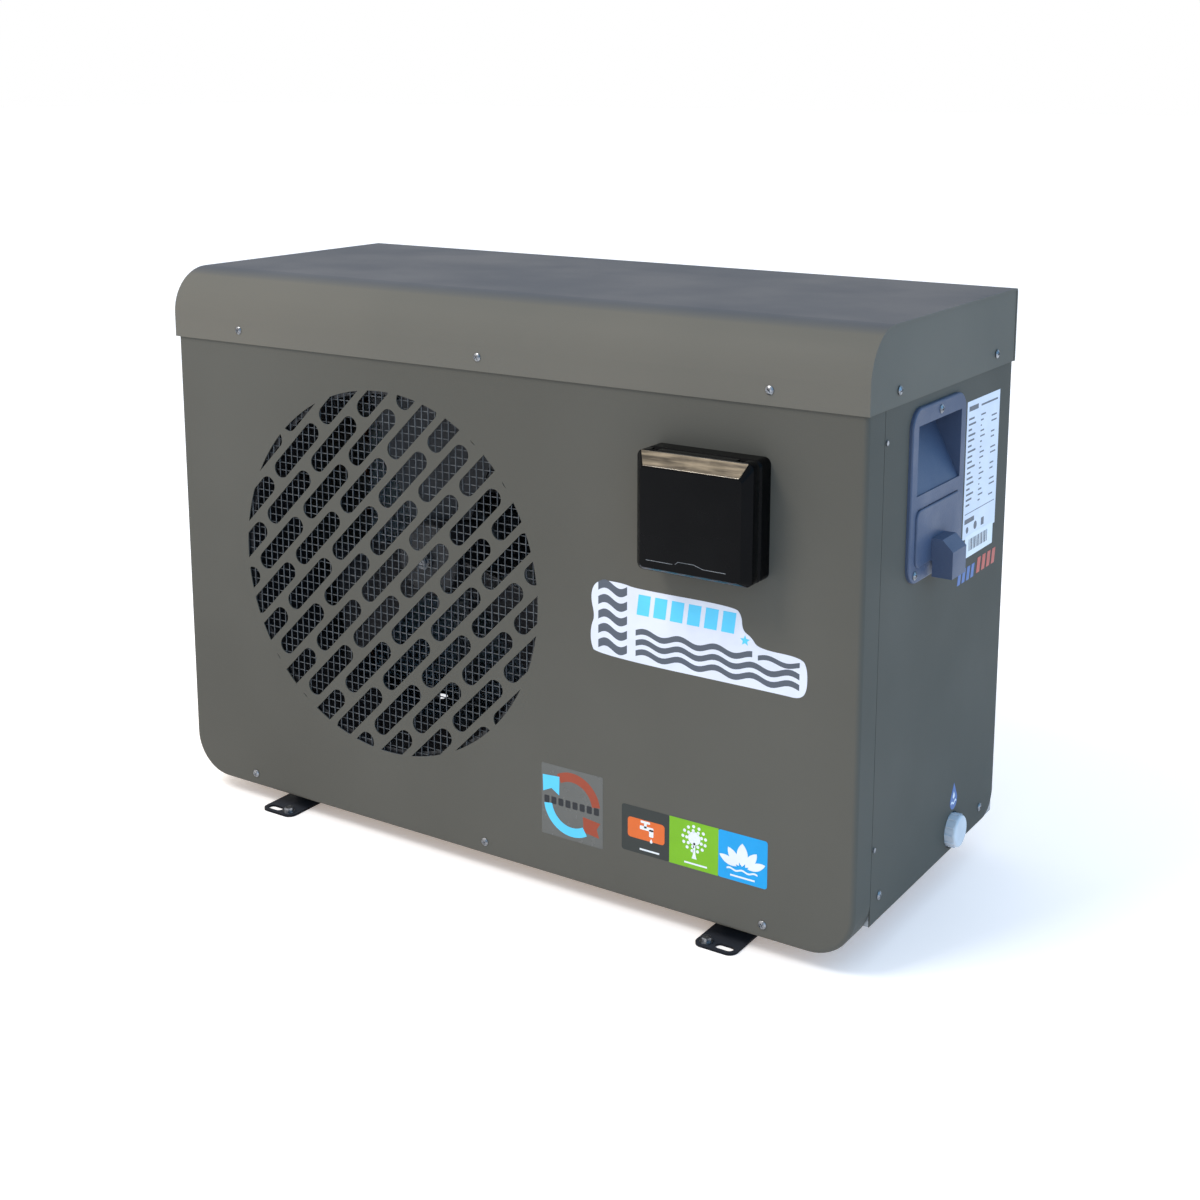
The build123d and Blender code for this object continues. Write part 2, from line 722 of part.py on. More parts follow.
def grip_plate(side):
    """A moulded plate with a sloping finger recess; the right one also has a wiring pocket."""
    outer = side * (side_x + plate_proud)
    seat = side * (side_x + 0.02)
    grip_floor = side * (side_x - grip_depth)
    pocket_floor = side * (side_x - wiring_depth)
    height = plate_high - plate_low
    middle_z = (plate_high + plate_low) / 2
    with BuildPart() as plate:
        with BuildSketch(Plane.YZ.offset(seat)):
            with Locations((plate_y, middle_z)):
                RectangleRounded(plate_width, height, plate_corner)
        extrude(amount=outer - seat)
        rim = plate.faces().sort_by(Axis.X)[-1 if side > 0 else 0].edges()
        fillet(rim, 1.8)
        shell_y = (plate_y - grip_width / 2 - plate_wall, plate_y + grip_width / 2 + plate_wall)
        shell_z = (grip_low - plate_wall, grip_high + plate_wall)
        slab(sorted((seat, grip_floor - side * plate_wall)), shell_y, shell_z)
        if side > 0:
            pocket_y = (plate_y - wiring_width / 2 + 4.0, plate_y + wiring_width / 2 - 4.0)
            pocket_z = (wiring_low + 18.0, wiring_high + 3.0)
            slab(sorted((seat, pocket_floor - side * plate_wall)), pocket_y, pocket_z)
        with BuildSketch(Plane.XZ.offset(-(plate_y + grip_width / 2))):
            with BuildLine():
                ramp_low = (outer + side, grip_low)
                ramp_start = (side * (side_x + plate_proud - 2.0), grip_low)
                ramp_end = (grip_floor, grip_high - 14.0)
                ramp_top = (grip_floor, grip_high)
                mouth_top = (outer + side, grip_high)
                Polyline(ramp_low, ramp_start, ramp_end, ramp_top, mouth_top, close=True)
            make_face()
        extrude(amount=grip_width, mode=Mode.SUBTRACT)
        if side > 0:
            well_y = (pocket_y[0] + plate_wall, pocket_y[1] - plate_wall)
            well_z = (pocket_z[0] + plate_wall, pocket_z[1] - plate_wall)
            slab(sorted((pocket_floor, outer + side)), well_y, well_z, Mode.SUBTRACT)
            rod((pocket_floor, plate_y, gland_z), "x", gland_radius + 1.0, 4 * plate_wall, Mode.SUBTRACT)
        screw_holes([(outer, y, z) for y, z in plate_screw_seats], "x")
    return plate


right_grip_plate = grip_plate(1)
write(right_grip_plate, "right_grip_plate")
left_grip_plate = grip_plate(-1)
write(left_grip_plate, "left_grip_plate")

cover_x = side_x + plate_proud + touch
cover_foot = wiring_low + 12.0
hood_low = cover_foot - 2.0 - hood_drop
hood_top = hood_low + hood_height
with BuildPart() as wiring_cover:
    with BuildSketch(Plane.YZ.offset(cover_x)):
        with Locations((plate_y, (cover_foot + wiring_high) / 2)):
            RectangleRounded(wiring_width - 4.0, wiring_high - cover_foot, 8.0)
    extrude(amount=2.0)
    fillet(wiring_cover.faces().sort_by(Axis.X)[-1].edges(), 1.2)
    hood_y = (plate_y - hood_width / 2, plate_y + hood_width / 2)
    slab((cover_x, cover_x + hood_reach), hood_y, (hood_low, hood_top))
    outer_top = wiring_cover.edges().filter_by(Axis.Y).group_by(Axis.X)[-1].sort_by(Axis.Z)[-1]
    chamfer(outer_top, hood_slope)
    room_y = (hood_y[0] + hood_wall, hood_y[1] - hood_wall)
    lower_x = (cover_x - 1, cover_x + hood_reach - hood_wall)
    upper_x = (cover_x - 1, cover_x + hood_reach - hood_slope - hood_wall - 1.0)
    slab(lower_x, room_y, (hood_low - 1, hood_top - hood_slope - hood_wall), Mode.SUBTRACT)
    slab(upper_x, room_y, (hood_low - 1, hood_top - hood_wall - 1.0), Mode.SUBTRACT)
    behind_hood = (hood_y[0] - 1, hood_y[1] + 1)
    slab((cover_x - 1, cover_x + 3.0), behind_hood, (hood_low - 1, cover_foot - 0.1), Mode.SUBTRACT)
write(wiring_cover, "wiring_cover")

pocket_x = side_x - wiring_depth
terminal_x = pocket_x + touch
terminal_z = (wiring_high - 4.0 - terminal_height, wiring_high - 4.0)
terminal_y = (plate_y - 36.0, plate_y - 36.0 + terminal_width)
with BuildPart() as terminal_block:
    slab((terminal_x, terminal_x + terminal_depth), terminal_y, terminal_z)
    for step in range(terminal_count):
        screw_y = terminal_y[0] + (step + 0.5) * terminal_width / terminal_count
        screw_at = (terminal_x + terminal_depth, screw_y, (terminal_z[0] + terminal_z[1]) / 2)
        rod(screw_at, "x", 3.2, 2.4)
write(terminal_block, "terminal_block")

with BuildPart() as cable_gland:
    rod((pocket_x - 2.0, plate_y, gland_z), "x", gland_radius, gland_length)
    rod((pocket_x + 4.0 + touch, plate_y, gland_z), "x", gland_radius + 1.5, 8.0)
    rod((pocket_x, plate_y, gland_z), "x", cable_radius, 2 * gland_length, Mode.SUBTRACT)
write(cable_gland, "cable_gland")

# ---------------------------------------------------------------- controller, its lid and buttons

face_y = front_y - controller_depth
controller_middle = (controller_low + controller_high) / 2
controller_height = controller_high - controller_low
lid_rear = face_y - lid_gap
lid_front = lid_rear - lid_depth
hinge_y = face_y - hinge_set
hinge_z = controller_high - hinge_drop
button_z = controller_low + 24.0
display_z = controller_middle + display_rise
button_xs = [controller_x + (step - 1.5) * button_pitch for step in range(len(button_names))]

with BuildPart() as controller_housing:
    with BuildSketch(front_plane(-0.02)):
        with Locations((controller_x, controller_middle)):
            RectangleRounded(controller_width, controller_height, controller_corner)
    extrude(amount=controller_depth - 0.02)
    slab_z = (controller_low + 14.0, controller_high - 14.0)
    room_y = (face_y + controller_wall, front_y - controller_wall)
    half_room = controller_width / 2 - controller_wall - 4.0
    slab((controller_x - half_room, controller_x + half_room), room_y, slab_z, Mode.SUBTRACT)
    top_edge = controller_housing.edges().filter_by(Axis.X).group_by(Axis.Z)[-1].sort_by(Axis.Y)[0]
    chamfer(top_edge, 3.0)
    for side in (-1, 1):
        ear_x = controller_x + side * knuckle_spread / 2
        ear = (ear_x - knuckle_width / 2, ear_x + knuckle_width / 2)
        slab(ear, (hinge_y, face_y + 0.5), (hinge_z - 3.0, hinge_z + 2.2))
        rod((ear_x, hinge_y, hinge_z), "x", 2.2, knuckle_width)
        rod((ear_x, hinge_y, hinge_z), "x", pin_radius + run_clearance, knuckle_width + 1, Mode.SUBTRACT)
    window_x = (controller_x - display_width / 2, controller_x + display_width / 2)
    window_z = (display_z - display_height / 2, display_z + display_height / 2)
    slab(window_x, (face_y - 1, face_y + window_depth), window_z, Mode.SUBTRACT)
    for button_x in button_xs:
        hole_x = (button_x - button_width / 2 - button_room, button_x + button_width / 2 + button_room)
        hole_z = (button_z - button_height / 2 - button_room, button_z + button_height / 2 + button_room)
        slab(hole_x, (face_y - 1, face_y + controller_wall + 1), hole_z, Mode.SUBTRACT)
    rod((controller_x, front_y, controller_middle), "y", 8.0, 3 * controller_wall, Mode.SUBTRACT)
write(controller_housing, "controller_housing")

with BuildPart() as display:
    glass_x = (window_x[0] + slip, window_x[1] - slip)
    glass_z = (window_z[0] + slip, window_z[1] - slip)
    glass_rear = face_y + window_depth - touch
    slab(glass_x, (glass_rear - display_thickness, glass_rear), glass_z)
write(display, "display")

for name, button_x in zip(button_names, button_xs):
    with BuildPart() as button:
        cap_x = (button_x - button_width / 2, button_x + button_width / 2)
        cap_z = (button_z - button_height / 2, button_z + button_height / 2)
        slab(cap_x, (face_y - button_proud, face_y + controller_wall + button_travel), cap_z)
        fillet(button.edges().filter_by(Axis.Y), 2.0)
        fillet(button.faces().sort_by(Axis.Y)[0].edges(), 0.6)
        flange_x = (cap_x[0] - button_flange, cap_x[1] + button_flange)
        flange_z = (cap_z[0] - button_flange, cap_z[1] + button_flange)
        flange_front = face_y + controller_wall + 0.1
        slab(flange_x, (flange_front, flange_front + 1.2), flange_z)
    write(button, name)


def lid_form(inset, rear):
    """The lid's outer form set in by inset: a rounded block that narrows to its front face."""
    shoulder = lid_front + lid_bevel
    front = lid_front + inset
    width = controller_width - 2 * inset
    height = controller_height - 2 * inset
    corner = controller_corner - inset
    face_width = controller_width - 2 * lid_bevel - inset
    face_low = controller_low + lid_low_bevel + inset / 2
    face_high = controller_high - lid_top_bevel - inset / 2
    with BuildPart() as form:
        with BuildSketch(front_plane(rear - front_y)):
            with Locations((controller_x, controller_middle)):
                RectangleRounded(width, height, corner)
        extrude(amount=rear - shoulder)
        with BuildSketch(front_plane(shoulder - front_y)):
            with Locations((controller_x, controller_middle)):
                RectangleRounded(width, height, corner)
        with BuildSketch(front_plane(front - front_y)):
            with Locations((controller_x, (face_low + face_high) / 2)):
                RectangleRounded(face_width, face_high - face_low, corner - 3.0)
        loft()
    return form.part


lid_outside = lid_form(0, lid_rear)
lid_inside = lid_form(lid_wall, lid_rear + 1)
knuckle_xs = [controller_x + side * knuckle_spread / 2 for side in (-1, 1)]
knuckle_half = knuckle_width / 2
notch_half = knuckle_half + slip
with BuildPart() as lid:
    add(lid_outside)
    add(lid_inside, mode=Mode.SUBTRACT)
    for knuckle_x in knuckle_xs:
        notch_x = (knuckle_x - notch_half, knuckle_x + notch_half)
        notch_y = (hinge_y - hinge_drop, lid_rear + 1)
        slab(notch_x, notch_y, (hinge_z, controller_high + 1), Mode.SUBTRACT)
        for side in (-1, 1):
            ear_x = sorted((knuckle_x + side * notch_half, knuckle_x + side * (notch_half + ear_width)))
            slab(ear_x, (hinge_y - 6.0, hinge_y + 2.4), (hinge_z - 2.6, controller_high - 1.0))
        pin_bore = knuckle_width + 2 * ear_width + 2.0
        rod((knuckle_x, hinge_y, hinge_z), "x", pin_radius + 0.01, pin_bore, Mode.SUBTRACT)
write(lid, "lid")

strip_length = math.hypot(lid_bevel, lid_top_bevel)
strip_middle = (controller_x, lid_front + lid_bevel / 2, controller_high - lid_top_bevel / 2)
strip_plane = Plane(origin=strip_middle, x_dir=(1, 0, 0), z_dir=(0, -lid_top_bevel, lid_bevel))
with BuildPart() as lid_strip:
    with BuildSketch(strip_plane.offset(touch)):
        with BuildLine():
            half_low = controller_width / 2 - lid_bevel - 3.0
            half_high = controller_width / 2 - 5.0
            low_v = -strip_length / 2 + strip_margin
            high_v = strip_length / 2 - strip_margin
            low_edge = [(-half_low, low_v), (half_low, low_v)]
            high_edge = [(half_high, high_v), (-half_high, high_v)]
            Polyline(*low_edge, *high_edge, close=True)
        make_face()
    extrude(amount=strip_thickness)
write(lid_strip, "lid_strip")

with BuildPart() as lid_pins:
    for knuckle_x in knuckle_xs:
        rod((knuckle_x, hinge_y, hinge_z), "x", pin_radius, knuckle_width + 2 * ear_width)
write(lid_pins, "lid_pins")

# ---------------------------------------------------------------- water heat exchanger and its unions

exchanger_middle = (exchanger_low + exchanger_high) / 2
union_y = rear_y + port_reach
port_heights = {"inlet": inlet_height, "outlet": outlet_height}
shell_y = drain_y

switch_y = shell_y + exchanger_radius + 28.0
switch_z = inlet_height + port_neck
with BuildPart() as heat_exchanger:
    rod((water_x, shell_y, exchanger_middle), "z", exchanger_radius, exchanger_high - exchanger_low)
    fillet(heat_exchanger.edges().filter_by(GeomType.CIRCLE), 12.0)
    rod((water_x, shell_y, exchanger_middle), "z", exchanger_radius + 4.0, 24.0)
    for height in port_heights.values():
        neck_length = union_y - shell_y
        neck_at = (water_x, shell_y + neck_length / 2, height)
        rod(neck_at, "y", port_neck, neck_length)
        rod((water_x, union_y - 12.0, height), "y", port_radius, 24.0)
    boss_end = side_x + drain_cap_reach - 4.0
    boss_length = boss_end - water_x
    rod((water_x + boss_length / 2, shell_y, drain_height), "x", drain_boss_radius, boss_length)
    room = exchanger_high - exchanger_low - 2 * exchanger_wall
    rod((water_x, shell_y, exchanger_middle), "z", exchanger_radius - exchanger_wall, room, Mode.SUBTRACT)
    for height in port_heights.values():
        rod((water_x, shell_y + neck_length / 2 + 1, height), "y", port_bore, neck_length, Mode.SUBTRACT)
    drain_at = (water_x + boss_length / 2, shell_y, drain_height)
    rod(drain_at, "x", drain_boss_radius - 3.0, boss_length + 1, Mode.SUBTRACT)
    rod((water_x, switch_y, switch_z), "z", 6.5, 16.0, Mode.SUBTRACT)
write(heat_exchanger, "heat_exchanger")

titanium_low = exchanger_middle - (titanium_turns - 1) * titanium_pitch / 2
with BuildPart() as exchanger_coil:
    for turn in range(titanium_turns):
        with Locations((water_x, shell_y, titanium_low + turn * titanium_pitch)):
            Torus(titanium_radius, titanium_tube)
write(exchanger_coil, "exchanger_coil")

cup_radius = exchanger_radius + slip
foot_half = cup_radius + base_wall
with BuildPart() as exchanger_base:
    tube((water_x, shell_y, pan_floor + base_height / 2), "z", foot_half, cup_radius, base_height)
    tongue_x = (water_x - 84.0, water_x + foot_half - 2.0)
    slab(tongue_x, (shell_y - 30.0, shell_y + 30.0), (pan_floor, pan_floor + 2.0))
    rod((water_x, shell_y, pan_floor + 1.0), "z", exchanger_radius - 8.0, 6.0, Mode.SUBTRACT)
    gap_half = drain_boss_radius + 3.5
    gap_x = (water_x + 40.0, water_x + foot_half + 14.0)
    gap_z = (drain_height - drain_boss_radius - 4.0, drain_height + 30.0)
    slab(gap_x, (shell_y - gap_half, shell_y + gap_half), gap_z, Mode.SUBTRACT)
write(exchanger_base, "exchanger_base")

collar_start = union_y + gasket_thickness
socket_outer = socket_radius + socket_wall
socket_end = collar_start + collar_length + 3.0 + socket_depth
with BuildPart() as union_gaskets:
    for height in port_heights.values():
        gasket_at = (water_x, union_y + gasket_thickness / 2, height)
        tube(gasket_at, "y", port_radius - 1.0, port_bore + 1.0, gasket_thickness - 2 * touch)
write(union_gaskets, "union_gaskets")

with BuildPart() as union_sockets:
    for height in port_heights.values():
        rod((water_x, collar_start + collar_length / 2, height), "y", port_radius - 0.6, collar_length)
        rod((water_x, (collar_start + socket_end) / 2, height), "y", socket_outer, socket_end - collar_start)
        rod((water_x, collar_start + 10.0, height), "y", port_bore, 30.0, Mode.SUBTRACT)
        socket_at = (water_x, socket_end - socket_depth / 2 + 0.5, height)
        rod(socket_at, "y", socket_radius, socket_depth + 1, Mode.SUBTRACT)
write(union_sockets, "union_sockets")

nut_start = union_y - 10.0
lip_start = collar_start + collar_length + 0.5
for name, height in port_heights.items():
    nut_at = (water_x, nut_start + nut_length / 2, height)
    with BuildPart() as nut:
        rod(nut_at, "y", nut_radius, nut_length)
        fillet(nut.edges().filter_by(GeomType.CIRCLE), 2.0)
        for rib in range(nut_ribs):
            angle = 2 * math.pi * rib / nut_ribs
            rib_x = water_x + nut_radius * math.cos(angle)
            rib_z = height + nut_radius * math.sin(angle)
            rod((rib_x, nut_at[1], rib_z), "y", nut_rib, nut_length - 6.0)
        thread_middle = (water_x, (nut_start - 1 + lip_start) / 2, height)
        rod(thread_middle, "y", port_radius + slip, lip_start - nut_start + 1, Mode.SUBTRACT)
        rod(nut_at, "y", socket_outer + slip, nut_length + 1, Mode.SUBTRACT)
    write(nut, f"{name}_nut")

cap_end = side_x + drain_cap_reach
cap_middle = cap_end - drain_cap_depth / 2
with BuildPart() as drain_cap:
    rod((cap_middle, drain_y, drain_height), "x", drain_cap_radius, drain_cap_depth)
    fillet(drain_cap.faces().sort_by(Axis.X)[-1].edges(), 2.5)
    for rib in range(drain_cap_ribs):
        angle = 2 * math.pi * rib / drain_cap_ribs
        rib_y = drain_y + drain_cap_radius * math.cos(angle)
        rib_z = drain_height + drain_cap_radius * math.sin(angle)
        rod((cap_middle - 0.5, rib_y, rib_z), "x", 1.2, drain_cap_depth - 5.0)
    bore_end = cap_end - 3.0
    bore_start = cap_end - drain_cap_depth - 2.0
    bore_at = ((bore_start + bore_end) / 2, drain_y, drain_height)
    rod(bore_at, "x", drain_boss_radius + slip, bore_end - bore_start, Mode.SUBTRACT)
write(drain_cap, "drain_cap")

# ---------------------------------------------------------------- flow switch in the inlet

pivot_z = inlet_height + port_bore - 3.0
prong_half = 4.8
with BuildPart() as flow_switch:
    body_x = (water_x - switch_size / 2, water_x + switch_size / 2)
    body_y = (switch_y - switch_size / 2, switch_y + switch_size / 2)
    slab(body_x, body_y, (switch_z + 1.0, switch_z + 1.0 + switch_height))
    fillet(flow_switch.edges().filter_by(Axis.Z), 4.0)
    for side in (-1, 1):
        prong = sorted((water_x + side * (prong_half - 1.5), water_x + side * prong_half))
        slab(prong, (switch_y - 1.8, switch_y + 1.8), (pivot_z - 2.0, switch_z + 2.0))
    rod((water_x, switch_y, pivot_z), "x", paddle_pin, 2 * prong_half - 1.6)
write(flow_switch, "flow_switch")

with BuildPart() as flow_paddle:
    blade_y = (switch_y - 0.5, switch_y + 0.5)
    blade_x = (water_x - paddle_width / 2, water_x + paddle_width / 2)
    rod((water_x, switch_y, pivot_z), "x", paddle_pin + 1.0, 2 * (prong_half - 1.5) - 0.6)
    slab((water_x - 2.5, water_x + 2.5), blade_y, (pivot_z - 6.0, pivot_z - 1.0))
    slab(blade_x, blade_y, (pivot_z - paddle_length, pivot_z - 4.0))
    rod((water_x, switch_y, pivot_z), "x", paddle_pin + run_clearance, 2 * prong_half, Mode.SUBTRACT)
write(flow_paddle, "flow_paddle")

# ---------------------------------------------------------------- compressor and accumulator

stub_end = valve_height - 30.0  # lower ends of the reversing valve's stubs
compressor_at = (compressor_x, compressor_y, (compressor_low + compressor_high) / 2)
foot_angles = [math.radians(90 + 120 * step) for step in range(3)]
foot_places = [
    (compressor_x + grommet_circle * math.cos(angle), compressor_y + grommet_circle * math.sin(angle))
    for angle in foot_angles
]
with BuildPart() as compressor:
    rod(compressor_at, "z", compressor_radius, compressor_high - compressor_low)
    fillet(compressor.edges().filter_by(GeomType.CIRCLE).sort_by(Axis.Z)[-1], 24.0)
    fillet(compressor.edges().filter_by(GeomType.CIRCLE).sort_by(Axis.Z)[0], 10.0)
    rod((compressor_x, compressor_y, compressor_high + 4.0), "z", pipe_radius, 12.0)
    rod((compressor_x, compressor_y, compressor_low + 1.5), "z", compressor_radius - 6.0, 3.0)
    for foot_x, foot_y in foot_places:
        rod((foot_x, foot_y, compressor_low + 1.5), "z", 14.0, 3.0)
    for foot_x, foot_y in foot_places:
        rod((foot_x, foot_y, compressor_low + 1.5), "z", 5.5, 4.0, Mode.SUBTRACT)
write(compressor, "compressor")

with BuildPart() as compressor_grommets:
    for foot_x, foot_y in foot_places:
        grommet_height = compressor_low - pan_floor - 0.02
        tube((foot_x, foot_y, pan_floor + grommet_height / 2), "z", 12.0, 3.4, grommet_height)
write(compressor_grommets, "compressor_grommets")

with BuildPart() as compressor_bolts:
    for foot_x, foot_y in foot_places:
        bolt_top = compressor_low + foot_bolt_rise
        rod((foot_x, foot_y, (pan_floor + bolt_top) / 2), "z", 3.0, bolt_top - pan_floor)
        rod((foot_x, foot_y, compressor_low + 5.0), "z", 9.0, 3.0)
write(compressor_bolts, "compressor_bolts")

strap_y = (compressor_y + compressor_radius + touch, accumulator_y - accumulator_radius + 2.0)
with BuildPart() as accumulator:
    tank_middle = (accumulator_low + accumulator_high) / 2
    tank_at = (compressor_x, accumulator_y, tank_middle)
    rod(tank_at, "z", accumulator_radius, accumulator_high - accumulator_low)
    fillet(accumulator.edges().filter_by(GeomType.CIRCLE), accumulator_radius - 13.0)
    neck_start = accumulator_high - 4.0
    neck_middle = (compressor_x, accumulator_y, (neck_start + stub_end) / 2)
    rod(neck_middle, "z", pipe_radius, stub_end - neck_start - touch)
    slab((compressor_x - 3.0, compressor_x + 3.0), strap_y, (tank_middle - 15.0, tank_middle + 15.0))
write(accumulator, "accumulator")

# ---------------------------------------------------------------- reversing valve and copper pipes

valve_x = compressor_x
with BuildPart() as reversing_valve:
    rod((valve_x, accumulator_y, valve_height), "x", valve_radius, valve_length)
    fillet(reversing_valve.edges().filter_by(GeomType.CIRCLE), 4.0)
    for shift in (-valve_spacing, 0.0, valve_spacing):
        stub_at = (valve_x + shift, accumulator_y, (stub_end + valve_height) / 2)
        rod(stub_at, "z", pipe_radius, valve_height - stub_end)
    rod((valve_x, accumulator_y, valve_height + 15.0), "z", pipe_radius, 30.0)
write(reversing_valve, "reversing_valve")

liquid_x = 250.0
liquid_y = row_ys[1]
gas_y = row_ys[0]
coil_end_x = coil_right + 2.0
high_run = tube_zs[-1]
shell_side = water_x - exchanger_radius
pipe_routes = {
    "discharge_pipe": [
        (compressor_x, compressor_y, compressor_high + 10.0),
        (compressor_x, compressor_y, valve_height + 70.0),
        (compressor_x, accumulator_y, valve_height + 70.0),
        (compressor_x, accumulator_y, valve_height + 30.0),
    ],
    "condenser_pipe": [
        (valve_x + valve_spacing, accumulator_y, stub_end),
        (valve_x + valve_spacing, accumulator_y, stub_end - 24.0),
        (liquid_x - 6.0, accumulator_y, stub_end - 24.0),
        (liquid_x - 6.0, accumulator_y, exchanger_high + 34.0),
        (water_x, accumulator_y, exchanger_high + 34.0),
        (water_x, accumulator_y, exchanger_high),
    ],
    "coil_gas_pipe": [
        (valve_x - valve_spacing, accumulator_y, stub_end),
        (valve_x - valve_spacing, accumulator_y, stub_end - 18.0),
        (valve_x - 50.0, accumulator_y, stub_end - 18.0),
        (valve_x - 50.0, gas_y, stub_end - 18.0),
        (valve_x - 50.0, gas_y, high_run),
        (coil_end_x, gas_y, high_run),
    ],
    "liquid_pipe": [
        (shell_side, shell_y, 110.0),
        (liquid_x, shell_y, 110.0),
        (liquid_x, liquid_y, 110.0),
        (liquid_x, liquid_y, high_run),
        (coil_end_x, liquid_y, high_run),
    ],
}


def copper_pipe(points):
    """A copper tube along straight runs joined by bends."""
    with BuildPart() as pipe:
        with BuildLine() as route:
            FilletPolyline(*points, radius=pipe_bend)
        with BuildSketch(Plane(origin=route.line @ 0, z_dir=route.line % 0)):
            Circle(pipe_radius)
            Circle(pipe_radius - pipe_wall, mode=Mode.SUBTRACT)
        sweep(path=route.line)
    return pipe.part


with BuildPart() as gas_pipes:
    for name in ("discharge_pipe", "condenser_pipe", "coil_gas_pipe"):
        add(copper_pipe(pipe_routes[name]))
write(gas_pipes, "gas_pipes")

with BuildPart() as liquid_pipe:
    add(copper_pipe(pipe_routes["liquid_pipe"]))
write(liquid_pipe, "liquid_pipe")

with BuildPart() as expansion_valve:
    tube((liquid_x, liquid_y, 240.0), "z", 15.0, pipe_radius + run_clearance, 40.0)
    rod((liquid_x + 20.0, liquid_y, 240.0), "x", 9.0, 20.0)
write(expansion_valve, "expansion_valve")

with BuildPart() as filter_drier:
    tube((liquid_x, liquid_y, 370.0), "z", 16.0, pipe_radius + run_clearance, 96.0)
    fillet(filter_drier.edges().filter_by(GeomType.CIRCLE).group_by(SortBy.RADIUS)[-1], 8.0)
write(filter_drier, "filter_drier")

# ---------------------------------------------------------------- electrical box

box_x = (partition_x + box_left_gap, side_x - box_right_gap)
box_y = (front_y + box_front_gap, front_y + box_front_gap + box_depth)
inner_x = (box_x[0] + sheet, box_x[1] - sheet)
inner_y = (box_y[0] + sheet, box_y[1] - sheet)
with BuildPart() as electrical_box:
    slab(box_x, box_y, (box_low, box_high))
    slab(inner_x, inner_y, (box_low + sheet, box_high + 1), Mode.SUBTRACT)
    rod((box_x[0] + 30.0, (box_y[0] + box_y[1]) / 2, box_low), "z", 10.0, 6 * sheet, Mode.SUBTRACT)
    bracket_x = (partition_x + sheet + touch, box_x[0] + 1)
    slab(bracket_x, box_y, (box_high - 20.0, box_high - 20.0 + sheet))
write(electrical_box, "electrical_box")

lid_lap = sheet + slip
with BuildPart() as box_lid:
    lid_x = (box_x[0] - lid_lap, box_x[1] + lid_lap)
    lid_y = (box_y[0] - lid_lap, box_y[1] + lid_lap)
    slab(lid_x, lid_y, (box_high + touch, box_high + sheet))
write(box_lid, "box_lid")

board_y = inner_y[1] - board_margin - board_thickness
board_x = (inner_x[0] + board_margin, inner_x[1] - board_margin)
component_widths = (26.0, 18.0, 30.0, 20.0)
with BuildPart() as circuit_board:
    board_z = (box_low + board_margin, box_high - board_margin)
    slab(board_x, (board_y, board_y + board_thickness), board_z)
    component_pitch = (board_x[1] - board_x[0]) / len(component_widths)
    for step, width in enumerate(component_widths):
        left = board_x[0] + (step + 0.2) * component_pitch
        component_z = (box_low + 70.0, box_low + 70.0 + width)
        slab((left, left + width), (board_y - 0.8 * width, board_y + 0.1), component_z)
write(circuit_board, "circuit_board")

with BuildPart() as run_capacitor:
    capacitor_x = inner_x[1] - capacitor_radius - 6.0
    capacitor_y = inner_y[0] + capacitor_radius + 2.0
    capacitor_z = box_low + sheet + touch + capacitor_height / 2
    rod((capacitor_x, capacitor_y, capacitor_z), "z", capacitor_radius, capacitor_height)
    fillet(run_capacitor.edges().filter_by(GeomType.CIRCLE), 2.0)
write(run_capacitor, "run_capacitor")

# ---------------------------------------------------------------- screws and rivets

with BuildPart() as screw:
    Cylinder(screw_head, screw_head_height, align=(Align.CENTER, Align.CENTER, Align.MIN))
    fillet(screw.faces().sort_by(Axis.Z)[-1].edges(), 1.2)
    with Locations((0, 0, -screw_length / 2)):
        Cylinder(screw_shank, screw_length)
    with BuildSketch(Plane.XY.offset(screw_head_height - 1.2)):
        Rectangle(4.6, 1.0)
        Rectangle(1.0, 4.6)
    extrude(amount=2.0, mode=Mode.SUBTRACT)

outward = {"front": (0, -1, 0), "rear": (0, 1, 0), "right": (1, 0, 0), "left": (-1, 0, 0)}
screw_groups = {
    "case_screws": [
        (front_cover_seats, "front"),
        (rear_cover_seats, "rear"),
        (right_cover_seats, "right"),
        (left_cover_seats, "left"),
        (front_foot_seats, "front"),
        (right_foot_seats, "right"),
        (left_foot_seats, "left"),
        ([(side_x - rear_return / 2, rear_y, z) for z in rear_fold_heights], "rear"),
        ([(-side_x + rear_return / 2, rear_y, z) for z in rear_fold_heights], "rear"),
    ],
    "plate_screws": [
        ([(side_x + plate_proud, y, z) for y, z in plate_screw_seats], "right"),
        ([(-side_x - plate_proud, y, z) for y, z in plate_screw_seats], "left"),
    ],
}
for name, rows in screw_groups.items():
    with BuildPart() as group:
        for seats, facing in rows:
            for seat in seats:
                normal = Vector(*outward[facing])
                with Locations(Plane(origin=Vector(*seat) + normal * touch, z_dir=normal)):
                    add(screw.part)
    write(group, name)

with BuildPart() as rivets:
    for side in (-1, 1):
        for rivet_y, rivet_z in rivet_seats:
            head_x = side * (side_x + 0.7)
            rod((head_x, rivet_y, rivet_z), "x", 2.4, 1.36)
write(rivets, "rivets")
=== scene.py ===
# %% [markdown]
# # A pool heat pump
# A painted steel case with a slotted round grille, a black control box under a flip-up lid, a plastic
# grip plate on the side, and the machinery behind them. The steel and plastic bodies come from the
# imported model, which fixes every size. What is left to make is what the eye reads as real: paint,
# metal and plastic finishes, screw heads, wire, fins, a softly moulded lid and the printed stickers.

import json
import math

import bmesh
import bpy
from mathutils import Matrix, Vector


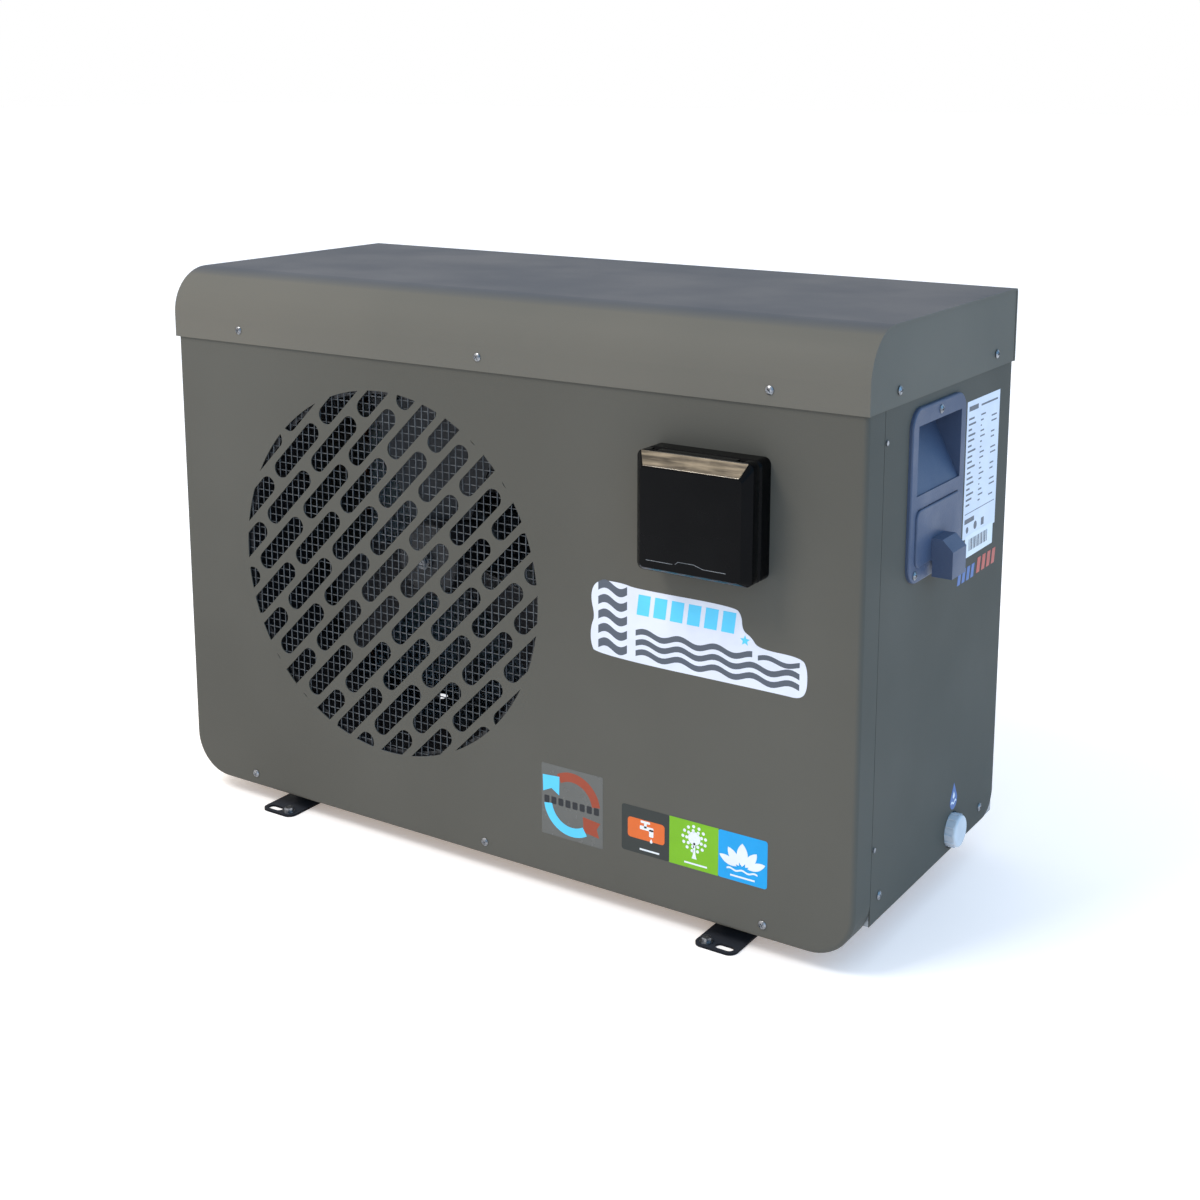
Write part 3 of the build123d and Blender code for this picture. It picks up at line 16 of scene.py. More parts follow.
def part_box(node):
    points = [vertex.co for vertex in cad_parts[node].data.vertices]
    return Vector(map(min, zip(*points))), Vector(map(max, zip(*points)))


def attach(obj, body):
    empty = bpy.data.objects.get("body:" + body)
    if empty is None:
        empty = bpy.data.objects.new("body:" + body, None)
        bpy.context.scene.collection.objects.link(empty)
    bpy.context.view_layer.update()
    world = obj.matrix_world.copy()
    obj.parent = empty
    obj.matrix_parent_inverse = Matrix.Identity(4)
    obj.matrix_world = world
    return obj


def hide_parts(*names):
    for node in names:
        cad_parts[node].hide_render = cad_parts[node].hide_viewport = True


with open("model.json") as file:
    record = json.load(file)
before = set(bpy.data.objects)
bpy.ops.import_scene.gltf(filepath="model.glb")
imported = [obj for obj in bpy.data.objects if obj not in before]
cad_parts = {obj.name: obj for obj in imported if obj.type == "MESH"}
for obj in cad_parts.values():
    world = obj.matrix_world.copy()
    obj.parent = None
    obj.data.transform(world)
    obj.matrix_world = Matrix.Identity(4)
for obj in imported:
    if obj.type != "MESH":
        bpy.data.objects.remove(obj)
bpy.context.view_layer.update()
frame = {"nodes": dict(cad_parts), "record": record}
scene = bpy.context.scene
mm = 0.001


def linked(name, data):
    """A new object in the scene."""
    made = bpy.data.objects.new(name, data)
    scene.collection.objects.link(made)
    return made


# %% [markdown]
# ## Camera
# A camera is easiest to repeat when it is placed by what it looks at: a point on the case, a turn
# round it, a height above the horizon and a distance. The lens is shifted so that the case sits in
# the frame with less downward tilt, because every degree of tilt makes the upright edges lean.

# %% Camera
aim = Vector((0.008, 0.034, 0.474))
turn, rise = math.radians(33.25), math.radians(11.1)
distance, lens_mm, frame_shift = 1.949, 52.04, -0.16
back = Vector((math.sin(turn) * math.cos(rise), -math.cos(turn) * math.cos(rise), math.sin(rise)))
camera = bpy.data.objects.new("camera", bpy.data.cameras.new("camera"))
camera.location = aim + back * distance
camera.rotation_mode = "QUATERNION"
camera.rotation_quaternion = (-back).to_track_quat("-Z", "Y")
camera.data.lens = lens_mm
camera.data.shift_y = frame_shift
scene.collection.objects.link(camera)
scene.camera = camera
print("camera at", [round(v, 3) for v in camera.location])

# %% [markdown]
# ## Floor and light
# Painted sheet metal shows its shape through slow changes of brightness, so most of the light is a
# bright surround that runs from warm white on the left to sky blue on the right. A warm soft lamp
# faces the front and a faint cool one stands beside the right end. The camera itself sees plain
# white behind the case, and the floor glows a little, so that no grey horizon shows.

# %% Floor and surround
floor_mesh = bpy.data.meshes.new("floor")
floor_half = 30.0
floor_corners = [(-floor_half, -floor_half, 0), (floor_half, -floor_half, 0)]
floor_corners += [(floor_half, floor_half, 0), (-floor_half, floor_half, 0)]
floor_mesh.from_pydata(floor_corners, [], [(0, 1, 2, 3)])
floor = linked("floor", floor_mesh)
pale = bpy.data.materials.new("pale_floor")
pale.use_nodes = True
pale_shader = pale.node_tree.nodes["Principled BSDF"]
pale_shader.inputs["Base Color"].default_value = (0.95, 0.95, 0.95, 1)
pale_shader.inputs["Roughness"].default_value = 0.9
pale_shader.inputs["Emission Color"].default_value = (1.0, 0.8, 0.66, 1)
pale_shader.inputs["Emission Strength"].default_value = 0.3
floor_mesh.materials.append(pale)


def step(tree, kind, inputs=None, **options):
    """One node of a tree. A socket among the inputs is linked, and any other value is set."""
    made = tree.nodes.new(kind)
    for key, value in options.items():
        setattr(made, key, value)
    for key, value in (inputs or {}).items():
        if isinstance(value, bpy.types.NodeSocket):
            tree.links.new(value, made.inputs[key])
        else:
            made.inputs[key].default_value = value
    return made


world = bpy.data.worlds.new("surround")
world.use_nodes = True
scene.world = world
air = world.node_tree
air.nodes.clear()
direction = step(air, "ShaderNodeTexCoord").outputs["Generated"]
rightward = step(air, "ShaderNodeSeparateXYZ", {0: direction}).outputs["X"]
sweep = {"Value": rightward, "From Min": -0.35, "From Max": 0.95}
blue_share = step(air, "ShaderNodeMapRange", sweep).outputs[0]
warm_air, blue_air = (1.10, 1.05, 1.0, 1), (0.25, 0.78, 1.38, 1)
sky = step(air, "ShaderNodeMix", {0: blue_share}, data_type="RGBA")
sky.inputs[6].default_value = warm_air
sky.inputs[7].default_value = blue_air
glow = step(air, "ShaderNodeBackground", {"Color": sky.outputs[2], "Strength": 1.0})
backdrop = step(air, "ShaderNodeBackground", {"Color": (1, 1, 1, 1), "Strength": 1.0}).outputs[0]
seen = step(air, "ShaderNodeLightPath").outputs["Is Camera Ray"]
shown = step(air, "ShaderNodeMixShader", {0: seen, 1: glow.outputs[0], 2: backdrop}).outputs[0]
step(air, "ShaderNodeOutputWorld", {"Surface": shown})
scene.view_settings.view_transform = "Standard"


def soft_lamp(name, place, size, power, colour):
    """A square lamp that faces the middle of the case."""
    lamp = bpy.data.lights.new(name, "AREA")
    lamp.shape = "SQUARE"
    lamp.size = size
    lamp.energy = power
    lamp.color = colour
    holder = bpy.data.objects.new(name, lamp)
    holder.location = place
    towards = Vector((0, 0, 0.3)) - Vector(place)
    holder.rotation_mode = "QUATERNION"
    holder.rotation_quaternion = towards.to_track_quat("-Z", "Y")
    scene.collection.objects.link(holder)


soft_lamp("front_lamp", (-1.0, -2.0, 3.2), 1.2, 66.0, (1.0, 0.95, 0.88))
soft_lamp("side_lamp", (2.8, 0.6, 1.6), 1.0, 3.0, (0.7, 0.88, 1.0))

# %% [markdown]
# ## Finishes
# Every finish starts from the same three facts about real surfaces: the colour drifts a little over
# a hand's width, the gloss drifts with it, and a fine relief breaks up the reflections. One helper
# makes that base, with the pattern fixed to the object's own metres, and the finishes that need
# more, such as zinc spangle or scuffed copper, add to it.

# %% A base for every finish
def rgb(red, green, blue):
    """A screen colour from 0 to 255 as the linear value a shader takes."""
    def linear(value):
        value /= 255
        return value / 12.92 if value <= 0.04045 else ((value + 0.055) / 1.055) ** 2.4
    return linear(red), linear(green), linear(blue), 1


def between(tree, factor, low, high):
    """Two colours mixed by a factor."""
    mixed = step(tree, "ShaderNodeMix", {0: factor}, data_type="RGBA")
    mixed.inputs[6].default_value = low
    mixed.inputs[7].default_value = high
    return mixed.outputs[2]


def drift(tree, where, scale, low, high, detail=3.0):
    """A slow random value between low and high."""
    noise = step(tree, "ShaderNodeTexNoise", {"Vector": where, "Scale": scale, "Detail": detail})
    spread = {
        "Value": noise.outputs["Fac"], "From Min": 0.35, "From Max": 0.65, "To Min": low,
        "To Max": high
    }
    return step(tree, "ShaderNodeMapRange", spread).outputs[0]


def relief(tree, shader, height_value, depth):
    """A height value turned into bumps that are depth metres deep."""
    bump = step(
        tree, "ShaderNodeBump", {"Height": height_value, "Distance": depth, "Strength": 1.0}
    )
    tree.links.new(bump.outputs[0], shader.inputs["Normal"])


finishes = {}


def finish(
    name, dark, light, gloss, patch=5.0, grain=900.0, depth=0.00002, metal=0.0, specular=0.5,
    coat=0.0
):
    """A material whose colour runs from dark to light and whose roughness runs over gloss."""
    material = bpy.data.materials.new(name)
    material.use_nodes = True
    tree = material.node_tree
    tree.nodes.clear()
    constants = {"Metallic": metal, "Specular IOR Level": specular, "Coat Weight": coat}
    shader = step(tree, "ShaderNodeBsdfPrincipled", constants)
    step(tree, "ShaderNodeOutputMaterial", {"Surface": shader.outputs[0]})
    where = step(tree, "ShaderNodeTexCoord").outputs["Object"]
    colour = between(tree, drift(tree, where, patch, 0.0, 1.0), dark, light)
    tree.links.new(colour, shader.inputs["Base Color"])
    tree.links.new(drift(tree, where, patch * 3, *gloss), shader.inputs["Roughness"])
    relief(tree, shader, drift(tree, where, grain, 0.0, 1.0, 2.0), depth)
    finishes[name] = material
    return material


def colour_of(material):
    """The tree, shader, place and present colour of a finish, for adding to it."""
    tree = material.node_tree
    shader = next(n for n in tree.nodes if n.type == "BSDF_PRINCIPLED")
    where = next(n for n in tree.nodes if n.type == "TEX_COORD").outputs["Object"]
    return tree, shader, where, shader.inputs["Base Color"].links[0].from_socket


# %% [markdown]
# ## Powder paint
# The case is powder coated in a warm grey. Powder paint melts and flows, but not quite flat: it
# keeps a fine orange peel, with pin-head specks where it thins over the steel. Faces that look
# up are mixed towards one tone of their own: partly dust, partly painted light and shade. This
# makes the tops of the case and feet paler and cooler, and the tops of the cover darker and cooler.

# %% Case, cover and foot paint
def powder_paint(name, dark, light, dust_and_top_shading, gloss=(0.46, 0.56)):
    """Powder coat with orange peel, fine specks, and a top tone of dust and painted shading on level faces.
    """
    paint = finish(name, dark, light, gloss, patch=2.5, grain=650.0, depth=0.00003, specular=0.04)
    tree, shader, where, colour = colour_of(paint)
    speck = step(tree, "ShaderNodeTexNoise", {"Vector": where, "Scale": 1400.0, "Detail": 1.0})
    spots = {"Value": speck.outputs["Fac"], "From Min": 0.62, "From Max": 0.7, "To Max": 0.35}
    amount = step(tree, "ShaderNodeMapRange", spots).outputs[0]
    specked = step(tree, "ShaderNodeMix", {0: amount, 6: colour, 7: light}, data_type="RGBA")
    # Faces that look up take the top tone: dust together with painted light and shade for how the tops are
    # lit.
    facing = step(tree, "ShaderNodeNewGeometry").outputs["Normal"]
    upward = step(tree, "ShaderNodeSeparateXYZ", {0: facing}).outputs["Z"]
    film = {"Value": upward, "From Min": 0.85, "From Max": 1.0, "To Max": 0.85}
    dust_and_top_shading_share = step(tree, "ShaderNodeMapRange", film).outputs[0]
    dusted_and_top_shaded = step(
        tree, "ShaderNodeMix", {0: dust_and_top_shading_share, 6: specked.outputs[2], 7: dust_and_top_shading}, data_type="RGBA"
    )
    tree.links.new(dusted_and_top_shaded.outputs[2], shader.inputs["Base Color"])
    return paint


# The last colour is each paint's top tone, dust and painted shading in one.
powder_paint("case_paint", rgb(83, 81, 75), rgb(89, 87, 81), rgb(90, 93, 100))
powder_paint("cover_paint", rgb(99, 96, 89), rgb(105, 101, 93), rgb(70, 75, 84))
powder_paint("foot_paint", rgb(26, 27, 30), rgb(34, 35, 39), rgb(52, 54, 60), (0.35, 0.5))
print("paints:", list(finishes))

# %% [markdown]
# ## Bare metals
# Galvanised sheet grows zinc crystals as it cools, each tilted its own way: a Voronoi cell pattern
# gives each crystal its own grey and gloss. Copper dulls in blotches and keeps bright streaks, so
# its colour is mixed by a sharper noise. The rest are plain metals with a drawn or cast grain.

# %% Bare metals
galvanised = finish("galvanised", rgb(150, 154, 158), rgb(176, 180, 184), (0.3, 0.45), metal=0.9)
tree, shader, where = colour_of(galvanised)[:3]
crystals = step(tree, "ShaderNodeTexVoronoi", {"Vector": where, "Scale": 150.0})
tone = step(tree, "ShaderNodeSeparateColor", {0: crystals.outputs["Color"]}).outputs[0]
tree.links.new(
    between(tree, tone, rgb(146, 150, 154), rgb(170, 174, 178)), shader.inputs["Base Color"]
)
shine = {"Value": tone, "To Min": 0.34, "To Max": 0.46}
tree.links.new(step(tree, "ShaderNodeMapRange", shine).outputs[0], shader.inputs["Roughness"])

copper = finish("copper", rgb(150, 84, 58), rgb(196, 120, 86), (0.22, 0.42), patch=30.0, metal=1.0)
tree, shader, where, colour = colour_of(copper)
tarnish = drift(tree, where, 60.0, 0.0, 0.7, 6.0)
dulled = step(tree, "ShaderNodeMix", {0: tarnish, 6: colour, 7: rgb(96, 58, 44)}, data_type="RGBA")
tree.links.new(dulled.outputs[2], shader.inputs["Base Color"])

finish("brass", rgb(172, 140, 74), rgb(206, 176, 104), (0.2, 0.35), patch=40.0, metal=1.0)
finish("titanium", rgb(128, 124, 118), rgb(152, 148, 142), (0.25, 0.4), patch=20.0, metal=1.0)
fin_aluminium = finish(
    "fin_aluminium", rgb(196, 199, 202), rgb(220, 222, 224), (0.35, 0.5), patch=12.0, metal=0.35
)
screw_steel = finish(
    "screw_steel", rgb(104, 106, 110), rgb(158, 160, 164), (0.24, 0.38), patch=300.0, metal=0.9
)
mesh_wire = finish(
    "mesh_wire", rgb(62, 65, 68), rgb(84, 87, 90), (0.4, 0.55), patch=60.0, metal=0.4
)
finish("motor_steel", rgb(70, 72, 74), rgb(92, 94, 96), (0.4, 0.55), patch=15.0, metal=0.6)
print("paints and metals:", len(finishes))

# %% [markdown]
# ## Plastics, rubber, glass and board
# Moulded plastics differ by their tool: the grip plate has a fine leather grain, the control box is
# polished black, the fittings are satin. The polished black gets a low specular level, so that it
# stays black in a bright surround and still catches the lamps along its rounded edges.

# %% Plastics, rubber, glass and board
finish(
    "grip_plastic", rgb(62, 73, 96), rgb(70, 82, 106), (0.4, 0.52), patch=8.0, grain=700.0,
    depth=0.00008, specular=0.35
)
gloss_black = finish(
    "gloss_black", rgb(4, 4, 5), rgb(9, 9, 10), (0.08, 0.16), patch=14.0, grain=60.0,
    depth=0.00002, specular=0.07
)
strip_film = finish(
    "strip_film", rgb(78, 68, 56), rgb(128, 112, 92), (0.14, 0.26), patch=26.0, grain=120.0,
    metal=0.25, specular=0.25
)
tree, shader, where = colour_of(strip_film)[:3]
drawn = step(tree, "ShaderNodeMapping", {"Vector": where, "Scale": (22.0, 260.0, 260.0)}).outputs[0]
streaks = drift(tree, drawn, 1.0, 0.0, 1.0, 4.0)
tree.links.new(
    between(tree, streaks, rgb(70, 62, 52), rgb(138, 124, 104)), shader.inputs["Base Color"]
)

finish(
    "display_glass", rgb(8, 12, 16), rgb(12, 17, 22), (0.04, 0.08), grain=30.0, depth=0.0,
    specular=0.4
)
finish("button_rubber", rgb(58, 60, 64), rgb(68, 70, 74), (0.55, 0.7), patch=60.0, grain=1500.0)
finish("black_rubber", rgb(18, 18, 19), rgb(28, 28, 30), (0.6, 0.8), patch=40.0, grain=1200.0)
finish("black_plastic", rgb(20, 20, 22), rgb(28, 28, 31), (0.4, 0.55), patch=20.0, grain=1000.0)
finish(
    "white_plastic", rgb(196, 200, 206), rgb(212, 215, 220), (0.3, 0.42), patch=30.0, grain=800.0
)
finish("union_plastic", rgb(168, 172, 176), rgb(184, 188, 192), (0.35, 0.45), patch=20.0)
finish("socket_plastic", rgb(62, 64, 68), rgb(72, 74, 78), (0.35, 0.48), patch=20.0)
finish("fan_plastic", rgb(36, 37, 40), rgb(46, 47, 50), (0.38, 0.5), patch=12.0)
finish(
    "compressor_black", rgb(16, 16, 17), rgb(24, 24, 26), (0.22, 0.34), patch=12.0, grain=300.0,
    depth=0.00005
)
finish(
    "board_green", rgb(18, 70, 42), rgb(26, 92, 56), (0.3, 0.45), patch=80.0, grain=500.0,
    depth=0.00005
)
print("finishes:", len(finishes))

# %% [markdown]
# ## Finishes on the bodies
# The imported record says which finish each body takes, so the bodies are painted from that list, and
# a finish is never given to a body by hand.

# %% Finishes on the bodies
finishes["strip"] = strip_film
for part in frame["record"]["subparts"]:
    body = frame["nodes"][part["node"]]
    body.data.materials.clear()
    body.data.materials.append(finishes[part["material_slot"]])

# %% [markdown]
# ## Repeats by Geometry Nodes
# Screws, fins and wires are one small shape repeated by a rule. A node tree states the rule once:
# its inputs are the sizes, and the instances are realised at the end, so that the result is an
# ordinary mesh. Each tree is run on a small guide mesh, whose points say where the copies go.

# %% Running a tree on a guide
def new_tree(name, sizes):
    """A geometry tree with one named input for each size."""
    made = bpy.data.node_groups.new(name, "GeometryNodeTree")
    made.interface.new_socket("Geometry", in_out="OUTPUT", socket_type="NodeSocketGeometry")
    made.interface.new_socket("Geometry", in_out="INPUT", socket_type="NodeSocketGeometry")
    for label, value in sizes.items():
        kind = "NodeSocketInt" if isinstance(value, int) else "NodeSocketFloat"
        made.interface.new_socket(label, in_out="INPUT", socket_type=kind).default_value = value
    return made


def close_tree(made, geometry, material):
    """The end of every tree: real copies, in their finish."""
    real = step(made, "GeometryNodeRealizeInstances", {0: geometry}).outputs[0]
    dressed = step(
        made, "GeometryNodeSetMaterial", {"Geometry": real, "Material": material}
    ).outputs[0]
    step(made, "NodeGroupOutput", {0: dressed})


def run_tree(name, guide, made, sizes):
    """The plain mesh piece that a tree makes from a guide mesh."""
    holder = linked(name + "_guide", guide)
    modifier = holder.modifiers.new(name, "NODES")
    modifier.node_group = made
    for item in made.interface.items_tree:
        if item.in_out == "INPUT" and item.name in sizes:
            modifier[item.identifier] = sizes[item.name]
    finished = holder.evaluated_get(bpy.context.evaluated_depsgraph_get())
    mesh = bpy.data.meshes.new_from_object(finished)
    bpy.data.objects.remove(holder)
    mesh.name = name
    piece = linked(name, mesh)
    print(name, "faces:", len(mesh.polygons))
    return piece


def islands(node):
    """The separate bodies of a CAD node, as (centre, extent) pairs."""
    shell = bmesh.new()
    shell.from_mesh(frame["nodes"][node].data)
    bmesh.ops.remove_doubles(shell, verts=shell.verts, dist=0.00002)
    found, seen = [], set()
    for start in shell.verts:
        if start in seen:
            continue
        reach, pile = [], [start]
        seen.add(start)
        while pile:
            vertex = pile.pop()
            reach.append(vertex.co.copy())
            for edge in vertex.link_edges:
                other = edge.other_vert(vertex)
                if other not in seen:
                    seen.add(other)
                    pile.append(other)
        low = Vector([min(p[i] for p in reach) for i in range(3)])
        high = Vector([max(p[i] for p in reach) for i in range(3)])
        found.append(((low + high) / 2, high - low))
    shell.free()
    return found


# %% [markdown]
# ## Case screws
# The sheets are held by pan head screws with a cross recess. A pan head is a short drum whose top is
# part of a ball, so the tree cuts a drum with a ball, then takes a cross of two bars out of it, and
# adds the shank. The copies stand on points read from the CAD screws, each turned to face outwards.

# %% Pan head screws
screw_sizes = {"Head Radius": 0.0044, "Head Height": 0.0024, "Shank Radius": 0.002, "Length": 0.011}
screw_tree = new_tree("pan_head_screw", screw_sizes)
given = step(screw_tree, "NodeGroupInput").outputs


def vector(tree, parts):
    """A vector from its parts, by their index."""
    return step(tree, "ShaderNodeCombineXYZ", parts).outputs[0]


def calc(tree, what, first, second=0.0):
    """One sum on two numbers or sockets."""
    return step(tree, "ShaderNodeMath", {0: first, 1: second}, operation=what).outputs[0]


def at_height(tree, value):
    """A place straight above the origin."""
    return vector(tree, {2: value})


def moved(tree, geometry, place):
    """Geometry shifted to a place."""
    return step(
        tree, "GeometryNodeTransform", {"Geometry": geometry, "Translation": place}
    ).outputs[0]


half_head = calc(screw_tree, "MULTIPLY", given["Head Height"], 0.5)
drum = step(
    screw_tree, "GeometryNodeMeshCylinder",
    {"Vertices": 40, "Radius": given["Head Radius"], "Depth": given["Head Height"]}
)
drum = moved(screw_tree, drum.outputs[0], at_height(screw_tree, half_head))
ball_radius = calc(screw_tree, "MULTIPLY", given["Head Radius"], 1.45)
ball = step(
    screw_tree, "GeometryNodeMeshUVSphere", {"Segments": 40, "Rings": 40, "Radius": ball_radius}
)
sunk = calc(screw_tree, "SUBTRACT", given["Head Height"], ball_radius)
ball = moved(screw_tree, ball.outputs[0], at_height(screw_tree, sunk))
domed = step(
    screw_tree, "GeometryNodeMeshBoolean", {"Mesh 2": drum}, operation="INTERSECT", solver="EXACT"
)
screw_tree.links.new(ball, domed.inputs["Mesh 2"])
bar_length = calc(screw_tree, "MULTIPLY", given["Head Radius"], 1.1)
bar_width = calc(screw_tree, "MULTIPLY", given["Head Radius"], 0.24)
crossed = step(
    screw_tree, "GeometryNodeMeshBoolean", {"Mesh 1": domed.outputs["Mesh"]},
    operation="DIFFERENCE", solver="EXACT"
)
for wide, tall in ((bar_length, bar_width), (bar_width, bar_length)):
    bar_size = vector(screw_tree, {0: wide, 1: tall, 2: given["Head Height"]})
    bar = step(screw_tree, "GeometryNodeMeshCube", {"Size": bar_size}).outputs[0]
    screw_tree.links.new(
        moved(screw_tree, bar, at_height(screw_tree, given["Head Height"])),
        crossed.inputs["Mesh 2"]
    )
shank = step(
    screw_tree, "GeometryNodeMeshCylinder",
    {"Vertices": 20, "Radius": given["Shank Radius"], "Depth": given["Length"]}
)
half_shank = calc(screw_tree, "MULTIPLY", given["Length"], -0.5)
shank = moved(screw_tree, shank.outputs[0], at_height(screw_tree, half_shank))
whole = step(screw_tree, "GeometryNodeJoinGeometry", {0: crossed.outputs["Mesh"]})
screw_tree.links.new(shank, whole.inputs[0])
facing = step(
    screw_tree, "GeometryNodeInputNamedAttribute", {"Name": "facing"}, data_type="FLOAT_VECTOR"
).outputs[0]
upright = step(
    screw_tree, "FunctionNodeAlignRotationToVector", {"Vector": facing}, axis="Z"
).outputs[0]
spin_z = step(screw_tree, "FunctionNodeRandomValue", {"Max": 3.0, "Seed": 4}, data_type="FLOAT")
spin_z.inputs[3].default_value = 1.5
spun = vector(screw_tree, {2: spin_z.outputs[1]})
turned = step(
    screw_tree, "FunctionNodeRotateRotation", {0: upright, 1: spun}, rotation_space="LOCAL"
).outputs[0]
placed = step(
    screw_tree, "GeometryNodeInstanceOnPoints",
    {"Points": given["Geometry"], "Instance": whole.outputs[0], "Rotation": turned}
).outputs[0]
close_tree(screw_tree, placed, screw_steel)


def screws(name, node):
    """Pan head screws in place of a CAD node's plain ones."""
    guide = bpy.data.meshes.new(name + "_points")
    seats, ways = [], []
    for centre, extent in islands(node):
        axis = max(range(3), key=lambda i: extent[i])
        outward = Vector((0, 0, 0))
        outward[axis] = math.copysign(1, centre[axis])
        head_top = centre + outward * extent[axis] / 2
        seats.append(head_top - outward * screw_sizes["Head Height"])
        ways.append(outward)
    guide.from_pydata(seats, [], [])
    field = guide.attributes.new("facing", "FLOAT_VECTOR", "POINT")
    for index, way in enumerate(ways):
        field.data[index].vector = way
    piece = run_tree(name, guide, screw_tree, screw_sizes)
    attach(piece, "case")
    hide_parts(node)
    print(name, "screws:", len(seats))


screws("case_pan_screws", "case_screws")
screws("plate_pan_screws", "plate_screws")

# %% [markdown]
# ## Coil fins
# The coil at the rear is a block of thin aluminium plates, about two millimetres apart. A single
# block with a striped picture would look flat from the rear, so each plate is real: a thin box
# whose sides are pushed into shallow ripples, repeated along a line of points.

# %% Coil fins
fin_low, fin_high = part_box("evaporator_fins")
fin_size = fin_high - fin_low
fin_sizes = {
    "Count": 236, "Run": fin_size.x, "Depth": fin_size.y, "Height": fin_size.z,
    "Thickness": 0.0004, "Ripple": 0.0004,
}
fin_tree = new_tree("coil_fins", fin_sizes)
given = step(fin_tree, "NodeGroupInput").outputs
plate_size = vector(fin_tree, {0: given["Thickness"], 1: given["Depth"], 2: given["Height"]})
plate = step(
    fin_tree, "GeometryNodeMeshCube",
    {"Size": plate_size, "Vertices X": 2, "Vertices Y": 13, "Vertices Z": 2}
).outputs[0]
place = step(fin_tree, "GeometryNodeInputPosition").outputs[0]
across = step(fin_tree, "ShaderNodeSeparateXYZ", {0: place}).outputs["Y"]
wave = calc(fin_tree, "PINGPONG", calc(fin_tree, "DIVIDE", across, given["Depth"]), 1 / 12)
push = calc(fin_tree, "MULTIPLY", calc(fin_tree, "MULTIPLY", wave, 12.0), given["Ripple"])
offset = vector(fin_tree, {0: push})
plate = step(fin_tree, "GeometryNodeSetPosition", {"Geometry": plate, "Offset": offset}).outputs[0]
gap = calc(fin_tree, "DIVIDE", given["Run"], given["Count"])
spacing = vector(fin_tree, {0: gap})
line = step(
    fin_tree, "GeometryNodeMeshLine", {"Count": given["Count"], "Offset": spacing}
).outputs[0]
fin_play = 0.00012
jitter = step(fin_tree, "FunctionNodeRandomValue", {"Seed": 7}, data_type="FLOAT")
jitter.inputs[2].default_value = -fin_play
jitter.inputs[3].default_value = fin_play
nudge = vector(fin_tree, {0: jitter.outputs[1]})
line = step(fin_tree, "GeometryNodeSetPosition", {"Geometry": line, "Offset": nudge}).outputs[0]
row = step(fin_tree, "GeometryNodeInstanceOnPoints", {"Points": line, "Instance": plate}).outputs[0]
corner = step(fin_tree, "GeometryNodeInputPosition").outputs[0]
start = step(
    fin_tree, "GeometryNodeSampleIndex",
    {"Geometry": given["Geometry"], "Value": corner, "Index": 0}, data_type="FLOAT_VECTOR"
).outputs[0]
row = moved(fin_tree, row, start)
close_tree(fin_tree, row, fin_aluminium)
fin_guide = bpy.data.meshes.new("fin_start")
first_fin = Vector((fin_low.x + 0.001, (fin_low.y + fin_high.y) / 2, (fin_low.z + fin_high.z) / 2))
fin_guide.from_pydata([first_fin], [], [])
fins = run_tree("coil_fin_pack", fin_guide, fin_tree, fin_sizes)
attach(fins, "case")
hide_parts("evaporator_fins")

# %% [markdown]
# ## Wire mesh behind the grille
# A welded mesh of round wire keeps fingers off the fan. Its wires are round, so light slides along
# them, which square bars from CAD do not give. Two rows of parallel lines, one upright and one level,
# become wires when a small circle is swept along them.

# %% Wire mesh
mesh_low, mesh_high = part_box("guard_mesh")
mesh_size = mesh_high - mesh_low
wire_sizes = {"Wires": 47, "Pitch": 0.0089, "Length": mesh_size.x, "Wire Radius": 0.00062}
wire_tree = new_tree("guard_wires", wire_sizes)
given = step(wire_tree, "NodeGroupInput").outputs
last = calc(wire_tree, "SUBTRACT", given["Wires"], 1.0)
half_span = calc(wire_tree, "MULTIPLY", calc(wire_tree, "MULTIPLY", last, given["Pitch"]), -0.5)
half_wire = calc(wire_tree, "MULTIPLY", given["Length"], 0.5)
minus_half = calc(wire_tree, "MULTIPLY", given["Length"], -0.5)
ring = step(
    wire_tree, "GeometryNodeCurvePrimitiveCircle",
    {"Resolution": 8, "Radius": given["Wire Radius"]}
).outputs[0]
sheet_of_wires = step(wire_tree, "GeometryNodeJoinGeometry")
for along, across_axis, depth_shift in ((2, 0, 0.0), (0, 2, 2.0)):
    foot = vector(wire_tree, {along: minus_half})
    head = vector(wire_tree, {along: half_wire})
    run = step(wire_tree, "GeometryNodeCurvePrimitiveLine", {"Start": foot, "End": head}).outputs[0]
    wire = step(
        wire_tree, "GeometryNodeCurveToMesh",
        {"Curve": run, "Profile Curve": ring, "Fill Caps": True}
    ).outputs[0]
    inward = calc(wire_tree, "MULTIPLY", given["Wire Radius"], depth_shift)
    begin = vector(wire_tree, {across_axis: half_span, 1: inward})
    stride = vector(wire_tree, {across_axis: given["Pitch"]})
    stations = step(
        wire_tree, "GeometryNodeMeshLine",
        {"Count": given["Wires"], "Start Location": begin, "Offset": stride}
    ).outputs[0]
    bank = step(
        wire_tree, "GeometryNodeInstanceOnPoints", {"Points": stations, "Instance": wire}
    ).outputs[0]
    wire_tree.links.new(bank, sheet_of_wires.inputs[0])
middle = step(wire_tree, "GeometryNodeInputPosition").outputs[0]
centre = step(
    wire_tree, "GeometryNodeSampleIndex",
    {"Geometry": given["Geometry"], "Value": middle, "Index": 0}, data_type="FLOAT_VECTOR"
).outputs[0]
close_tree(wire_tree, moved(wire_tree, sheet_of_wires.outputs[0], centre), mesh_wire)
wire_guide = bpy.data.meshes.new("mesh_middle")
mesh_middle = (mesh_low + mesh_high) / 2
mesh_middle.y = mesh_low.y + 0.0012
wire_guide.from_pydata([mesh_middle], [], [])
guard = run_tree("guard_wire_mesh", wire_guide, wire_tree, wire_sizes)
for face in guard.data.polygons:
    face.use_smooth = True
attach(guard, "case")
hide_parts("guard_mesh")

